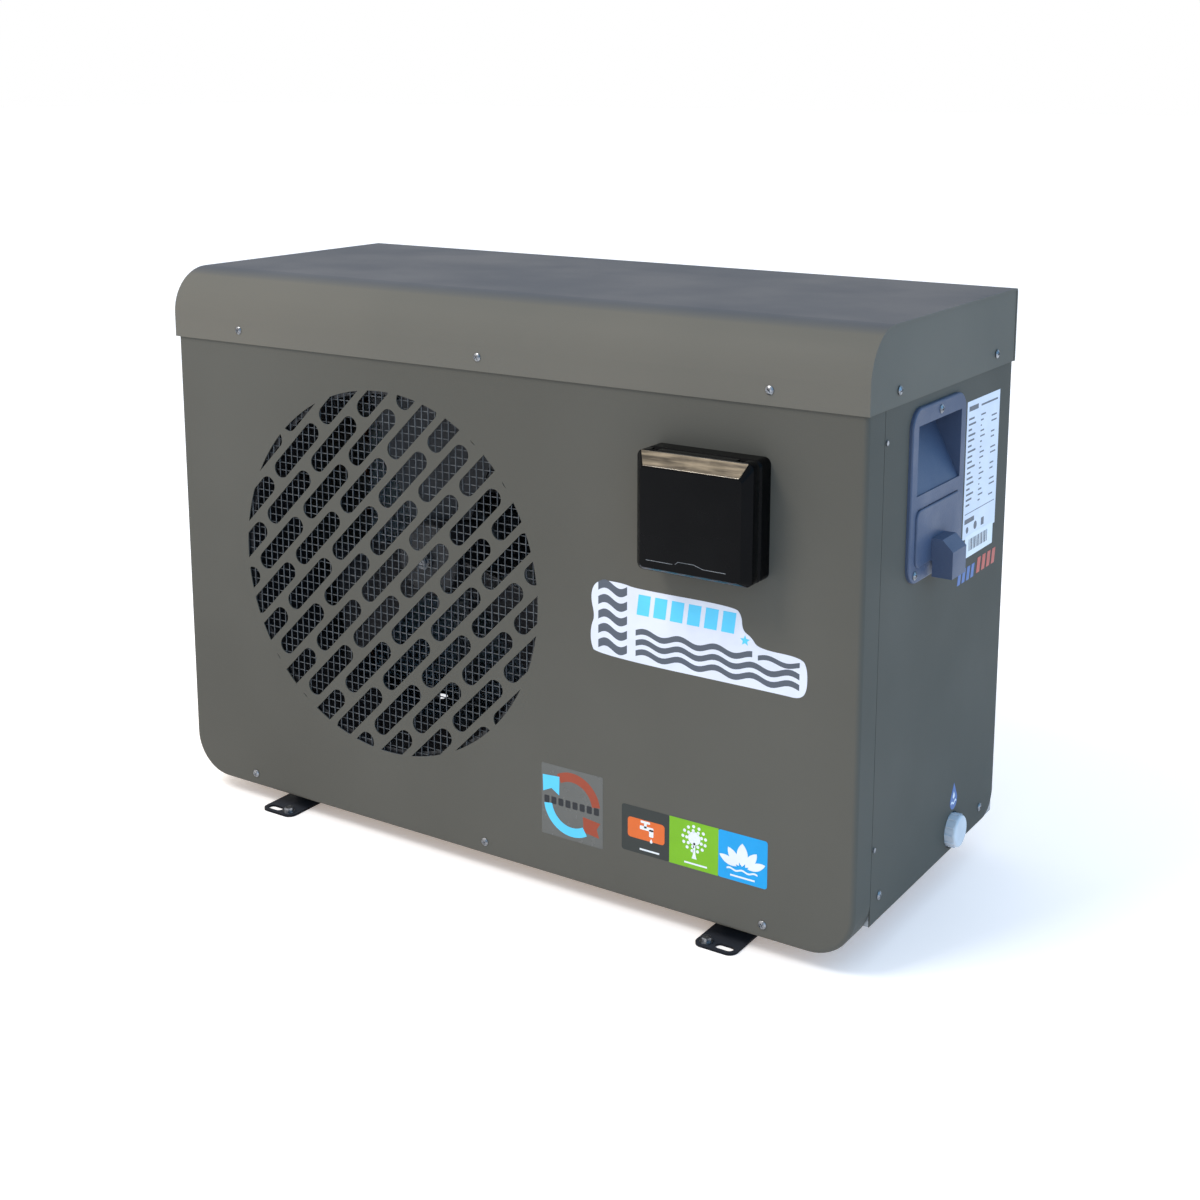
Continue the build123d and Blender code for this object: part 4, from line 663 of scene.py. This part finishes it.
# %% [markdown]
# ## Lid of the control box
# The lid is a moulded shell: a rounded block that narrows to its front face, broadly along the top
# where the bronze strip lies. It could be carved from a block, but a mould is a set of outlines at
# depths, so the shell is bridged between such outlines, outside and inside. A bevel then rounds the
# moulded edges, and two slots let the hinge knuckles of the box pass as the lid turns up.

# %% Outlines of the lid
lid_low, lid_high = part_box("lid")
lid_left, lid_right = lid_low.x, lid_high.x
lid_front, lid_rear = lid_low.y, lid_high.y
knuckle_low, knuckle_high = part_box("lid_pins")


def rounded_outline(left, right, low, high, radius, y, steps=7):
    """The points of a rounded rectangle in an upright plane, at depth y."""
    corners = [(right - radius, high - radius), (left + radius, high - radius)]
    corners += [(left + radius, low + radius), (right - radius, low + radius)]
    points = []
    for quarter, (x, z) in enumerate(corners):
        for turn_step in range(steps + 1):
            angle = (quarter + turn_step / steps) * math.pi / 2
            points.append(Vector((x + radius * math.cos(angle), y, z + radius * math.sin(angle))))
    return points


def outlines_of_lid(inset, rear):
    """The lid's outlines from rear to front, all set in by the same wall."""
    left, right = lid_left + inset, lid_right - inset
    low, high = lid_low.z + inset, lid_high.z - inset
    front = lid_front + inset
    side, foot, brow = 8 * mm, 5 * mm, 15 * mm
    return [
        rounded_outline(left, right, low, high, 7 * mm - inset, rear),
        rounded_outline(left, right, low, high, 7 * mm - inset, lid_front + 8 * mm),
        rounded_outline(
            left + side, right - side, low + foot, high - brow, 4 * mm - inset / 2, front
        ),
    ]


def bridge(shell, rings):
    """Faces between neighbouring rings of equal length."""
    rows = [[shell.verts.new(point) for point in ring] for ring in rings]
    for first, second in zip(rows, rows[1:]):
        for i in range(len(first)):
            j = (i + 1) % len(first)
            shell.faces.new((first[i], first[j], second[j], second[i]))
    return rows


def piece_from(shell, name, material):
    """A finished bmesh as a piece of the scene."""
    bmesh.ops.recalc_face_normals(shell, faces=shell.faces)
    mesh = bpy.data.meshes.new(name)
    shell.to_mesh(mesh)
    shell.free()
    mesh.materials.append(material)
    piece = linked(name, mesh)
    return piece


lid_shell = bmesh.new()
outer = bridge(lid_shell, outlines_of_lid(0.0, lid_rear))
inner = bridge(lid_shell, outlines_of_lid(2 * mm, lid_rear))
lid_shell.faces.new(outer[-1])
lid_shell.faces.new(list(reversed(inner[-1])))
for i in range(len(outer[0])):
    j = (i + 1) % len(outer[0])
    lid_shell.faces.new((outer[0][j], outer[0][i], inner[0][i], inner[0][j]))
lid = piece_from(lid_shell, "lid_shell", gloss_black)
print("lid outline points:", len(outer[0]), "faces:", len(lid.data.polygons))

# %% [markdown]
# ## Rounding the lid
# A bevel comes before the hinge slots, so that the moulded edges are round and the cut ones stay sharp,
# as a mould leaves them. Ears beside each slot then carry the hinge pins.

# %% Rounding, hinge slots and ears
rounding = lid.modifiers.new("rounding", "BEVEL")
rounding.width = 1.2 * mm
rounding.segments = 3
rounding.limit_method = "ANGLE"
rounding.angle_limit = math.radians(25)


def box_shell(shell, low, high):
    """A closed box added to a mesh."""
    size = Vector(high) - Vector(low)
    place = Matrix.Translation((Vector(low) + Vector(high)) / 2) @ Matrix.Diagonal((*size, 1))
    bmesh.ops.create_cube(shell, size=1.0, matrix=place)


hinge = (knuckle_low + knuckle_high) / 2
knuckles = (knuckle_low.x + 8 * mm, knuckle_high.x - 8 * mm)
slot_half, ear_end = 4.3 * mm, 8.3 * mm
cutter_shell = bmesh.new()
for x in knuckles:
    box_shell(
        cutter_shell, (x - slot_half, hinge.y - 4.5 * mm, hinge.z),
        (x + slot_half, lid_rear + mm, lid_high.z + mm)
    )
cutter = piece_from(cutter_shell, "hinge_slots", gloss_black)
slots = lid.modifiers.new("hinge_slots", "BOOLEAN")
slots.operation = "DIFFERENCE"
slots.solver = "EXACT"
slots.object = cutter


def settle(piece):
    """The piece's modifiers made part of its mesh."""
    finished = piece.evaluated_get(bpy.context.evaluated_depsgraph_get())
    mesh = bpy.data.meshes.new_from_object(finished)
    piece.modifiers.clear()
    piece.data = mesh


settle(lid)
bpy.data.objects.remove(cutter)
fittings = bmesh.new()
fittings.from_mesh(lid.data)
for x in knuckles:
    for side in (-1, 1):
        near, far = sorted((x + side * slot_half, x + side * ear_end))
        box_shell(
            fittings, (near, hinge.y - 6 * mm, hinge.z - 2.6 * mm),
            (far, hinge.y + 2.4 * mm, lid_high.z - mm)
        )
fittings.to_mesh(lid.data)
fittings.free()
for face in lid.data.polygons:
    face.use_smooth = True
lid.data.set_sharp_from_angle(angle=math.radians(38))
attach(lid, "lid")
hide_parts("lid")
print("lid faces:", len(lid.data.polygons), "front at", round(lid_front, 4))

# %% [markdown]
# ## Bead across the lid
# A thin bead runs across the foot of the lid's face. It rises over a short plateau in the middle and
# then falls back, which gives the plain face its only mark. Its pale grey is a painted highlight,
# the light line that the bead's edge would throw. A curve with a round bevel is the plain
# way to lay a bead along a path, and it is made a mesh once it lies in place.

# %% Bead across the lid
face_left = lid_left + 8 * mm
bead_low = lid_low.z + 12.5 * mm
bead_paths = [[(7, 0), (36, 0)], [(39, 0.4), (42, 3), (59, 3), (69, 0), (93, 0)]]


def bead(name, paths, radius, material, body, points_in):
    """Round beads laid along paths, as one mesh."""
    curve = bpy.data.curves.new(name, "CURVE")
    curve.dimensions = "3D"
    curve.bevel_depth = radius
    curve.bevel_resolution = 2
    curve.use_fill_caps = True
    for path in paths:
        line = curve.splines.new("POLY")
        line.points.add(len(path) - 1)
        for point, at in zip(line.points, path):
            point.co = (*points_in(*at), 1)
    holder = linked(name + "_path", curve)
    finished = holder.evaluated_get(bpy.context.evaluated_depsgraph_get())
    mesh = bpy.data.meshes.new_from_object(finished)
    bpy.data.objects.remove(holder)
    mesh.name = name
    mesh.materials.clear()
    mesh.materials.append(material)
    for face in mesh.polygons:
        face.use_smooth = True
    piece = linked(name, mesh)
    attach(piece, body)


# The bead's pale grey stands in for the light along its edge: a painted highlight on the black lid.
bead_painted_highlight = finish(
    "bead_painted_highlight", rgb(86, 90, 94), rgb(112, 116, 120), (0.2, 0.3), patch=90.0, grain=900.0,
    specular=0.4
)
bead("lid_bead", bead_paths, 0.32 * mm, bead_painted_highlight, "lid",
     lambda x, z: (face_left + x * mm, lid_front - 0.05 * mm, bead_low + z * mm))

# %% [markdown]
# ## Bright lines round the strip
# The bronze strip is framed by two bright lines, painted highlights where its folded edges catch the
# light. The same bead, thinner, follows the strip's long edges, in a pale metal that paints them.

# %% Bright lines round the strip
strip_low, strip_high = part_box("lid_strip")
# The pale colour of these lines is a painted highlight.
strip_painted_highlight = finish(
    "strip_painted_highlight", rgb(150, 140, 126), rgb(186, 178, 164), (0.16, 0.28), patch=70.0, metal=0.6
)
low_half = (lid_right - lid_left) / 2 - 11 * mm
high_half = (lid_right - lid_left) / 2 - 5 * mm
strip_x = (lid_left + lid_right) / 2


def on_strip(u, v):
    """A place on the strip: u along it in metres, v from 0 at its low edge to 1 at its high one."""
    y = strip_low.y + v * (strip_high.y - strip_low.y) - 0.15 * mm
    z = strip_low.z + v * (strip_high.z - strip_low.z) + 0.15 * mm
    return (strip_x + u, y, z)


edge_paths = [[(-low_half, 0.03), (low_half, 0.03)], [(-high_half, 0.97), (high_half, 0.97)]]
bead("strip_lines", edge_paths, 0.3 * mm, strip_painted_highlight, "lid", on_strip)
print("strip lines:", len(edge_paths))

# %% [markdown]
# ## Printed stickers
# Stickers are film, at most a third of a millimetre thick, cut to shape and printed in flat inks.
# They could be drawn by a material, but then their edges would have no thickness and would blur, so
# each film and each ink is a thin closed prism, the inks a little prouder than the film. They carry
# plain signs only: water, a tap, a tree, a flower, arrows and bars, and no lettering.

# %% Outlines for printing
def ink(name, colour, gloss=(0.3, 0.4)):
    """A printed film: an even colour with the slight cloudiness of ink."""
    paler = tuple(min(1.0, value * 1.06) for value in colour[:3]) + (1,)
    return finish(
        name, colour, paler, gloss, patch=40.0, grain=1600.0, depth=0.000006, specular=0.3
    )


def block(left, right, low, high, radius=0.0):
    """A rectangle, with rounded corners if it has a radius."""
    if radius == 0:
        return [(left, low), (right, low), (right, high), (left, high)]
    ring = rounded_outline(left, right, low, high, radius, 0, 5)
    return [(p.x, p.z) for p in ring]


def disc(x, z, radius, count=28):
    """A circle."""
    angles = [2 * math.pi * i / count for i in range(count)]
    return [(x + radius * math.cos(a), z + radius * math.sin(a)) for a in angles]


def star(x, z, radius, points=5):
    """A star whose inner corners lie at 0.45 of its radius."""
    outline = []
    for i in range(2 * points):
        angle = math.pi / 2 + math.pi * i / points
        reach = radius if i % 2 == 0 else 0.45 * radius
        outline.append((x + reach * math.cos(angle), z + reach * math.sin(angle)))
    return outline


def arc_band(x, z, inner_radius, outer_radius, begin, end, count=28):
    """Part of a ring between two angles in degrees."""
    angles = [math.radians(begin + (end - begin) * i / count) for i in range(count + 1)]
    outside = [(x + outer_radius * math.cos(a), z + outer_radius * math.sin(a)) for a in angles]
    inside = [(x + inner_radius * math.cos(a), z + inner_radius * math.sin(a)) for a in reversed(angles)]
    return outside + inside


def petal(x, z, length, width, lean, count=10):
    """A pointed leaf from a foot at x, z, leaning by so many degrees from upright."""
    lean = math.radians(lean)
    outline = []
    for side in (1, -1):
        steps = range(count) if side == 1 else range(count, 0, -1)
        for i in steps:
            t = i / count
            out = side * width / 2 * math.sin(math.pi * t) ** 0.8 if 0 < t < 1 else 0.0
            up = length * t
            petal_x = x + up * math.sin(lean) + out * math.cos(lean)
            petal_z = z + up * math.cos(lean) - out * math.sin(lean)
            outline.append((petal_x, petal_z))
    return outline


def wave(left, right, z, rise, thickness, crests, count=48):
    """A level band that swings up and down."""
    top, foot = [], []
    for i in range(count + 1):
        x = left + (right - left) * i / count
        middle = z + rise * math.sin(2 * math.pi * crests * i / count)
        top.append((x, middle + thickness / 2))
        foot.append((x, middle - thickness / 2))
    return foot + list(reversed(top))


def drop(x, z, radius, count=20):
    """A water drop: a round foot drawn up to a point."""
    angles = [math.radians(-210 + 240 * i / count) for i in range(count + 1)]
    return [(x + radius * math.cos(a), z + radius * math.sin(a)) for a in angles] + [(x, z + 2.1 * radius)]


# %% [markdown]
# ## Prisms for printing
# An outline is drawn in flat millimetres, and a small function says where that flat place lies on the
# case. The same sticker code then serves the front, the side, the display and the buttons.

# %% Prisms for printing
front_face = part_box("front_panel")[0].y
side_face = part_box("right_side_panel")[1].x


def on_front(u, v, lift):
    """A place on the front panel, lifted off it by so many millimetres."""
    return Vector((u * mm, front_face - lift * mm, v * mm))


def on_side(u, v, lift):
    """A place on the right side panel: u runs to the rear."""
    return Vector((side_face + lift * mm, u * mm, v * mm))


def sticker(name, layers, place, body="case", film=0.14, ink_step=0.04):
    """Flat prisms in layers, each one (material, [outlines]); later layers stand prouder."""
    shell = bmesh.new()
    for level, (material, outlines) in enumerate(layers):
        lift = film + ink_step * level
        for outline in outlines:
            low_ring = [shell.verts.new(place(u, v, 0.0)) for u, v in outline]
            high_ring = [shell.verts.new(place(u, v, lift)) for u, v in outline]
            faces = [shell.faces.new(low_ring), shell.faces.new(high_ring)]
            for i in range(len(outline)):
                j = (i + 1) % len(outline)
                faces.append(shell.faces.new((low_ring[i], low_ring[j], high_ring[j], high_ring[i])))
            for face in faces:
                face.material_index = level
    bmesh.ops.recalc_face_normals(shell, faces=shell.faces)
    bmesh.ops.triangulate(shell, faces=[f for f in shell.faces if len(f.verts) > 4])
    mesh = bpy.data.meshes.new(name)
    shell.to_mesh(mesh)
    shell.free()
    for material, _ in layers:
        mesh.materials.append(material)
    piece = linked(name, mesh)
    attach(piece, body)
    print(name, "shapes:", sum(len(outlines) for material, outlines in layers))


# %% [markdown]
# ## Printing colours
# Each ink and film is one finish with a slight cloudiness, named for what it looks like.

# %% Colours for printing
film_white = ink("film_white", rgb(206, 209, 220))
ink_slate = ink("ink_slate", rgb(76, 82, 92))
ink_sky = ink("ink_sky", rgb(84, 190, 226))
ink_black = ink("ink_black", rgb(34, 36, 40))
film_clear = ink("film_clear", rgb(92, 92, 89), (0.2, 0.28))
ink_rust = ink("ink_rust", rgb(142, 62, 40))
film_charcoal = ink("film_charcoal", rgb(44, 48, 46))
film_green = ink("film_green", rgb(112, 168, 24))
film_blue = ink("film_blue", rgb(10, 146, 208))
ink_orange = ink("ink_orange", rgb(206, 98, 40))
ink_white = ink("ink_white", rgb(214, 218, 222))
ink_red = ink("ink_red", rgb(176, 66, 56))
ink_cobalt = ink("ink_cobalt", rgb(52, 96, 156))

# %% [markdown]
# ## Water badge
# The large badge under the control box is die-cut: its white film follows the shapes printed on it
# with a margin all round. Five short slate waves are stacked at the left, a row of sky blue bars
# leans along the top, and three rows of long slate waves run below, with one small star.

# %% Water badge
badge_outline = [(137, 283), (143, 272), (352, 272), (370, 271), (378, 279), (378, 303), (371, 312)]
badge_outline += [
    (326, 312), (319, 322), (309, 327), (308, 342), (300, 349), (190, 348), (176, 351)
]
badge_outline += [(150, 351), (140, 344), (137, 330), (142, 312), (137, 300)]


def softened(outline, rounds=3):
    """An outline with its corners cut, again and again, until they read as round."""
    for _ in range(rounds):
        cut = []
        for (ax, az), (bx, bz) in zip(outline, outline[1:] + outline[:1]):
            cut.append((0.75 * ax + 0.25 * bx, 0.75 * az + 0.25 * bz))
            cut.append((0.25 * ax + 0.75 * bx, 0.25 * az + 0.75 * bz))
        outline = cut
    return outline


def leaning(left, right, low, high, lean):
    """A bar that leans to the right."""
    return [(left, low), (right, low), (right + lean, high), (left + lean, high)]


tall_waves = [wave(146, 180, 284 + 15 * i, 3.4, 8.5, 1.0) for i in range(5)]
top_bars = [leaning(191 + 19 * i, 205 + 19 * i, 322, 343, 2.5) for i in range(6)]
run_wave = [wave(190, 370, 282, 2.6, 6.0, 4.5), wave(190, 370, 292.5, 2.6, 6.0, 4.5)]
run_wave.append(wave(190, 320, 303, 2.6, 6.0, 3.25))
run_wave.append(wave(326, 370, 303, 2.0, 5.0, 1.1))
badge_layers = [
    (film_white, [softened(badge_outline)]),
    (ink_slate, tall_waves + run_wave),
    (ink_sky, top_bars + [star(312, 317.5, 5.5)]),
]
sticker("water_badge", badge_layers, on_front)

# %% [markdown]
# ## Arrow ring
# A clear square of film carries two arrows that chase each other, rust for heat and blue for cold:
# the round trip that a heat pump drives. The film is only slightly paler than the paint under it.

# %% Arrow ring
ring_x, ring_z, ring_inner, ring_outer = 113.4, 103.0, 25, 35
rust_head = [(127, 93.5), (148.5, 91), (144, 84), (147, 74.5), (128, 77)]
blue_head = [(77, 129), (98, 130.5), (97.5, 110), (88, 116), (77.5, 111)]
dashes = [block(79 + 8.8 * i, 85.2 + 8.8 * i, 99, 107, 1.2) for i in range(8)]
ring_layers = [
    (film_clear, [block(75.5, 151.5, 64, 142, 1.5)]),
    (ink_rust, [arc_band(ring_x, ring_z, ring_inner, ring_outer, 8, 122), rust_head]),
    (ink_sky, [arc_band(ring_x, ring_z, ring_inner, ring_outer, 188, 302), blue_head]),
    (ink_black, dashes),
]
sticker("arrow_ring", ring_layers, on_front)

# %% [markdown]
# ## Strip of three signs
# Three square signs share one strip of film: a tap on orange, a tree and a water lily. The strip's
# outer corners are rounded, so its end squares are drawn as a rounded block under a plain one.

# %% Strip of three signs
strip_foot, strip_top = 71.3, 120.8
tap = [block(196, 212, 98, 102, 1), block(207, 212, 92, 100, 1), block(201, 204, 100, 106, 0.6)]
tap += [block(197, 208, 105, 107.5, 0.8), drop(209.5, 87, 1.5)]
leaf_spots = [disc(259.2, 103.5, 7.0)]
for ring_radius, count in ((8.6, 9), (13.0, 13)):
    for i in range(count):
        angle = 2 * math.pi * i / count + 0.2 * ring_radius
        spot_x, spot_z = 259.2 + ring_radius * math.cos(angle), 103.0 + ring_radius * math.sin(angle)
        leaf_spots.append(disc(spot_x, spot_z, 1.7, 12))
trunk = [(256.6, 82), (262.2, 82), (260.6, 87), (260.4, 99), (258.2, 99), (257.9, 87)]
lily = [petal(313, 88, 24, 12, 0), petal(309.5, 88, 21, 9, -36), petal(316.5, 88, 21, 9, 36)]
lily += [petal(307, 87, 21, 8, -66), petal(319, 87, 21, 8, 66)]
lily += [wave(296, 330, 83, 0.9, 1.8, 2.5)]
small_lines = [
    block(196, 219, 75.6, 77.4), block(248, 274, 75.6, 77.4), block(300, 327, 75.6, 77.4)
]
sign_layers = [
    (film_charcoal, [block(174.4, 231.0, strip_foot, strip_top, 3)]),
    (film_blue, [block(286.0, 340.4, strip_foot, strip_top, 3)]),
    (film_green, [block(230.6, 286.5, strip_foot, strip_top)]),
    (ink_orange, [block(181.7, 225, 87, 108.5, 3.5)]),
    (ink_white, tap[:3] + [tap[4]] + leaf_spots + [trunk] + small_lines),
    (ink_white, tap[3:4] + lily[:1]),
    (ink_white, lily[1:3]),
    (ink_white, lily[3:]),
]
sticker("sign_strip", sign_layers, on_front, ink_step=0.03)

# %% [markdown]
# ## Labels on the right side
# A tall pale label of ruled rows stands behind the grip plate, with a small white one lapped over
# its foot. Rows of short dashes stand for a table, because real ones would be words and numbers.

# %% Labels on the right side
label_near, label_far = 56.5, 146.5
row_count, row_top, row_pitch = 17, 502, 5.6
rows = []
for i in range(row_count):
    row_z = row_top - row_pitch * i
    rows.append(block(label_near + 5, label_near + 20 + 6 * math.sin(2.3 * i), row_z, row_z + 2.0))
    rows.append(block(label_near + 38, label_near + 46 + 5 * math.cos(1.7 * i), row_z, row_z + 1.6))
    if i % 3:
        rows.append(block(label_far - 22, label_far - 10 + 3 * math.sin(i), row_z, row_z + 1.6))
headings = [
    block(label_near + 5, label_near + 30, 511, 516),
    block(label_near + 38, label_far - 6, 512, 514)
]
headings += [
    block(label_near + 4, label_far - 4, 404, 404.8),
    block(label_near + 4, label_near + 30, 394, 399)
]
label_signs = [
    disc(label_near + 12, 387, 3.4), disc(label_near + 34, 388, 4.4),
    block(label_near + 50, label_near + 58, 384, 392)
]
side_layers = [
    (film_white, [block(label_near, label_far, 378.3, 521.5)]),
    (ink_slate, rows + headings + label_signs),
]
sticker("rating_label", side_layers, on_side)
bars = [block(74 + 3.1 * i, 75 + 3.1 * i + 0.8 * (i % 3), 363.5, 376) for i in range(17)]
small_layers = [(ink_white, [block(64, 141, 357.5, 381)]), (ink_slate, bars)]
sticker("bar_label", small_layers, on_side, film=0.3)
cold_marks = [leaning(47 + 12 * i, 55 + 12 * i, 333, 347, 3) for i in range(4)]
warm_marks = [leaning(99 + 14 * i, 108 + 14 * i, 334, 350, 3) for i in range(4)]
sticker(
    "cold_and_warm_bars", [(ink_cobalt, cold_marks), (ink_red, warm_marks)], on_side,
)
drain_middle = (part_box("drain_cap")[0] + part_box("drain_cap")[1]) / 2
drain_y, drain_z = drain_middle.y / mm, drain_middle.z / mm
drain_layers = [
    (ink_cobalt, [drop(drain_y + 3, drain_z + 31, 9.5)]),
    (
        ink_white,
        [wave(drain_y - 4, drain_y + 10, drain_z + 29, 1.2, 2.2, 1.5), drop(drain_y + 3, drain_z + 36, 2.6)]
    ),
]
sticker("drain_drop", drain_layers, on_side)

# %% [markdown]
# ## Signs under the lid
# The display shows a water temperature in bar digits, and each button has a plain sign: a ring for
# power, a square for mode, and triangles for down and up. Each sign rides on its own button.

# %% Display digits and button signs
glass_low, glass_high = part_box("display")
glass_front = glass_low.y


def on_glass(u, v, lift):
    """A place on the display glass, in millimetres from its middle."""
    middle = (glass_low + glass_high) / 2
    return Vector((middle.x + u * mm, glass_front - lift * mm, middle.z + v * mm))


digit_bars = {
    "top": (
        1.2, 10.8, 20.4, 22.4
    ), "middle": (1.2, 10.8, 10.2, 12.2), "foot": (1.2, 10.8, 0.0, 2.0),
    "upper_left": (0, 2, 12.6, 21.4), "upper_right": (10, 12, 12.6, 21.4),
    "lower_left": (0, 2, 1.0, 9.8), "lower_right": (10, 12, 1.0, 9.8),
}
digits = [("top", "upper_right", "middle", "lower_left", "foot"), tuple(digit_bars)]
lit = []
for place_number, names in enumerate(digits):
    for name in names:
        left, right, low, high = digit_bars[name]
        shift = -20 + 18 * place_number
        lit.append(block(shift + left, shift + right, low - 9, high - 9))
lit.append(arc_band(21, 10, 1.2, 2.4, 0, 359))
sticker("display_digits", [(ink_sky, lit)], on_glass, film=0.03)

button_signs = {
    "power_button": [arc_band(0, 0, 1.5, 2.1, 120, 420), block(-0.3, 0.3, 0.6, 2.8)],
    "mode_button": [
        block(-1.8, 1.8, -1.8, -1.2), block(-1.8, 1.8, 1.2, 1.8), block(-1.8, 1.8, -0.3, 0.3)
    ],
    "down_button": [[(-2, 1.2), (2, 1.2), (0, -1.8)]],
    "up_button": [[(-2, -1.2), (2, -1.2), (0, 1.8)]],
}
for button, outlines in button_signs.items():
    button_low, button_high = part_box(button)
    middle = (button_low + button_high) / 2

    def on_button(u, v, lift, middle=middle, front=button_low.y):
        """A place on this button's face."""
        return Vector((middle.x + u * mm, front - lift * mm, middle.z + v * mm))

    sticker(
        button + "_sign", [(ink_white, outlines)], on_button, body=button,
        film=0.08
    )
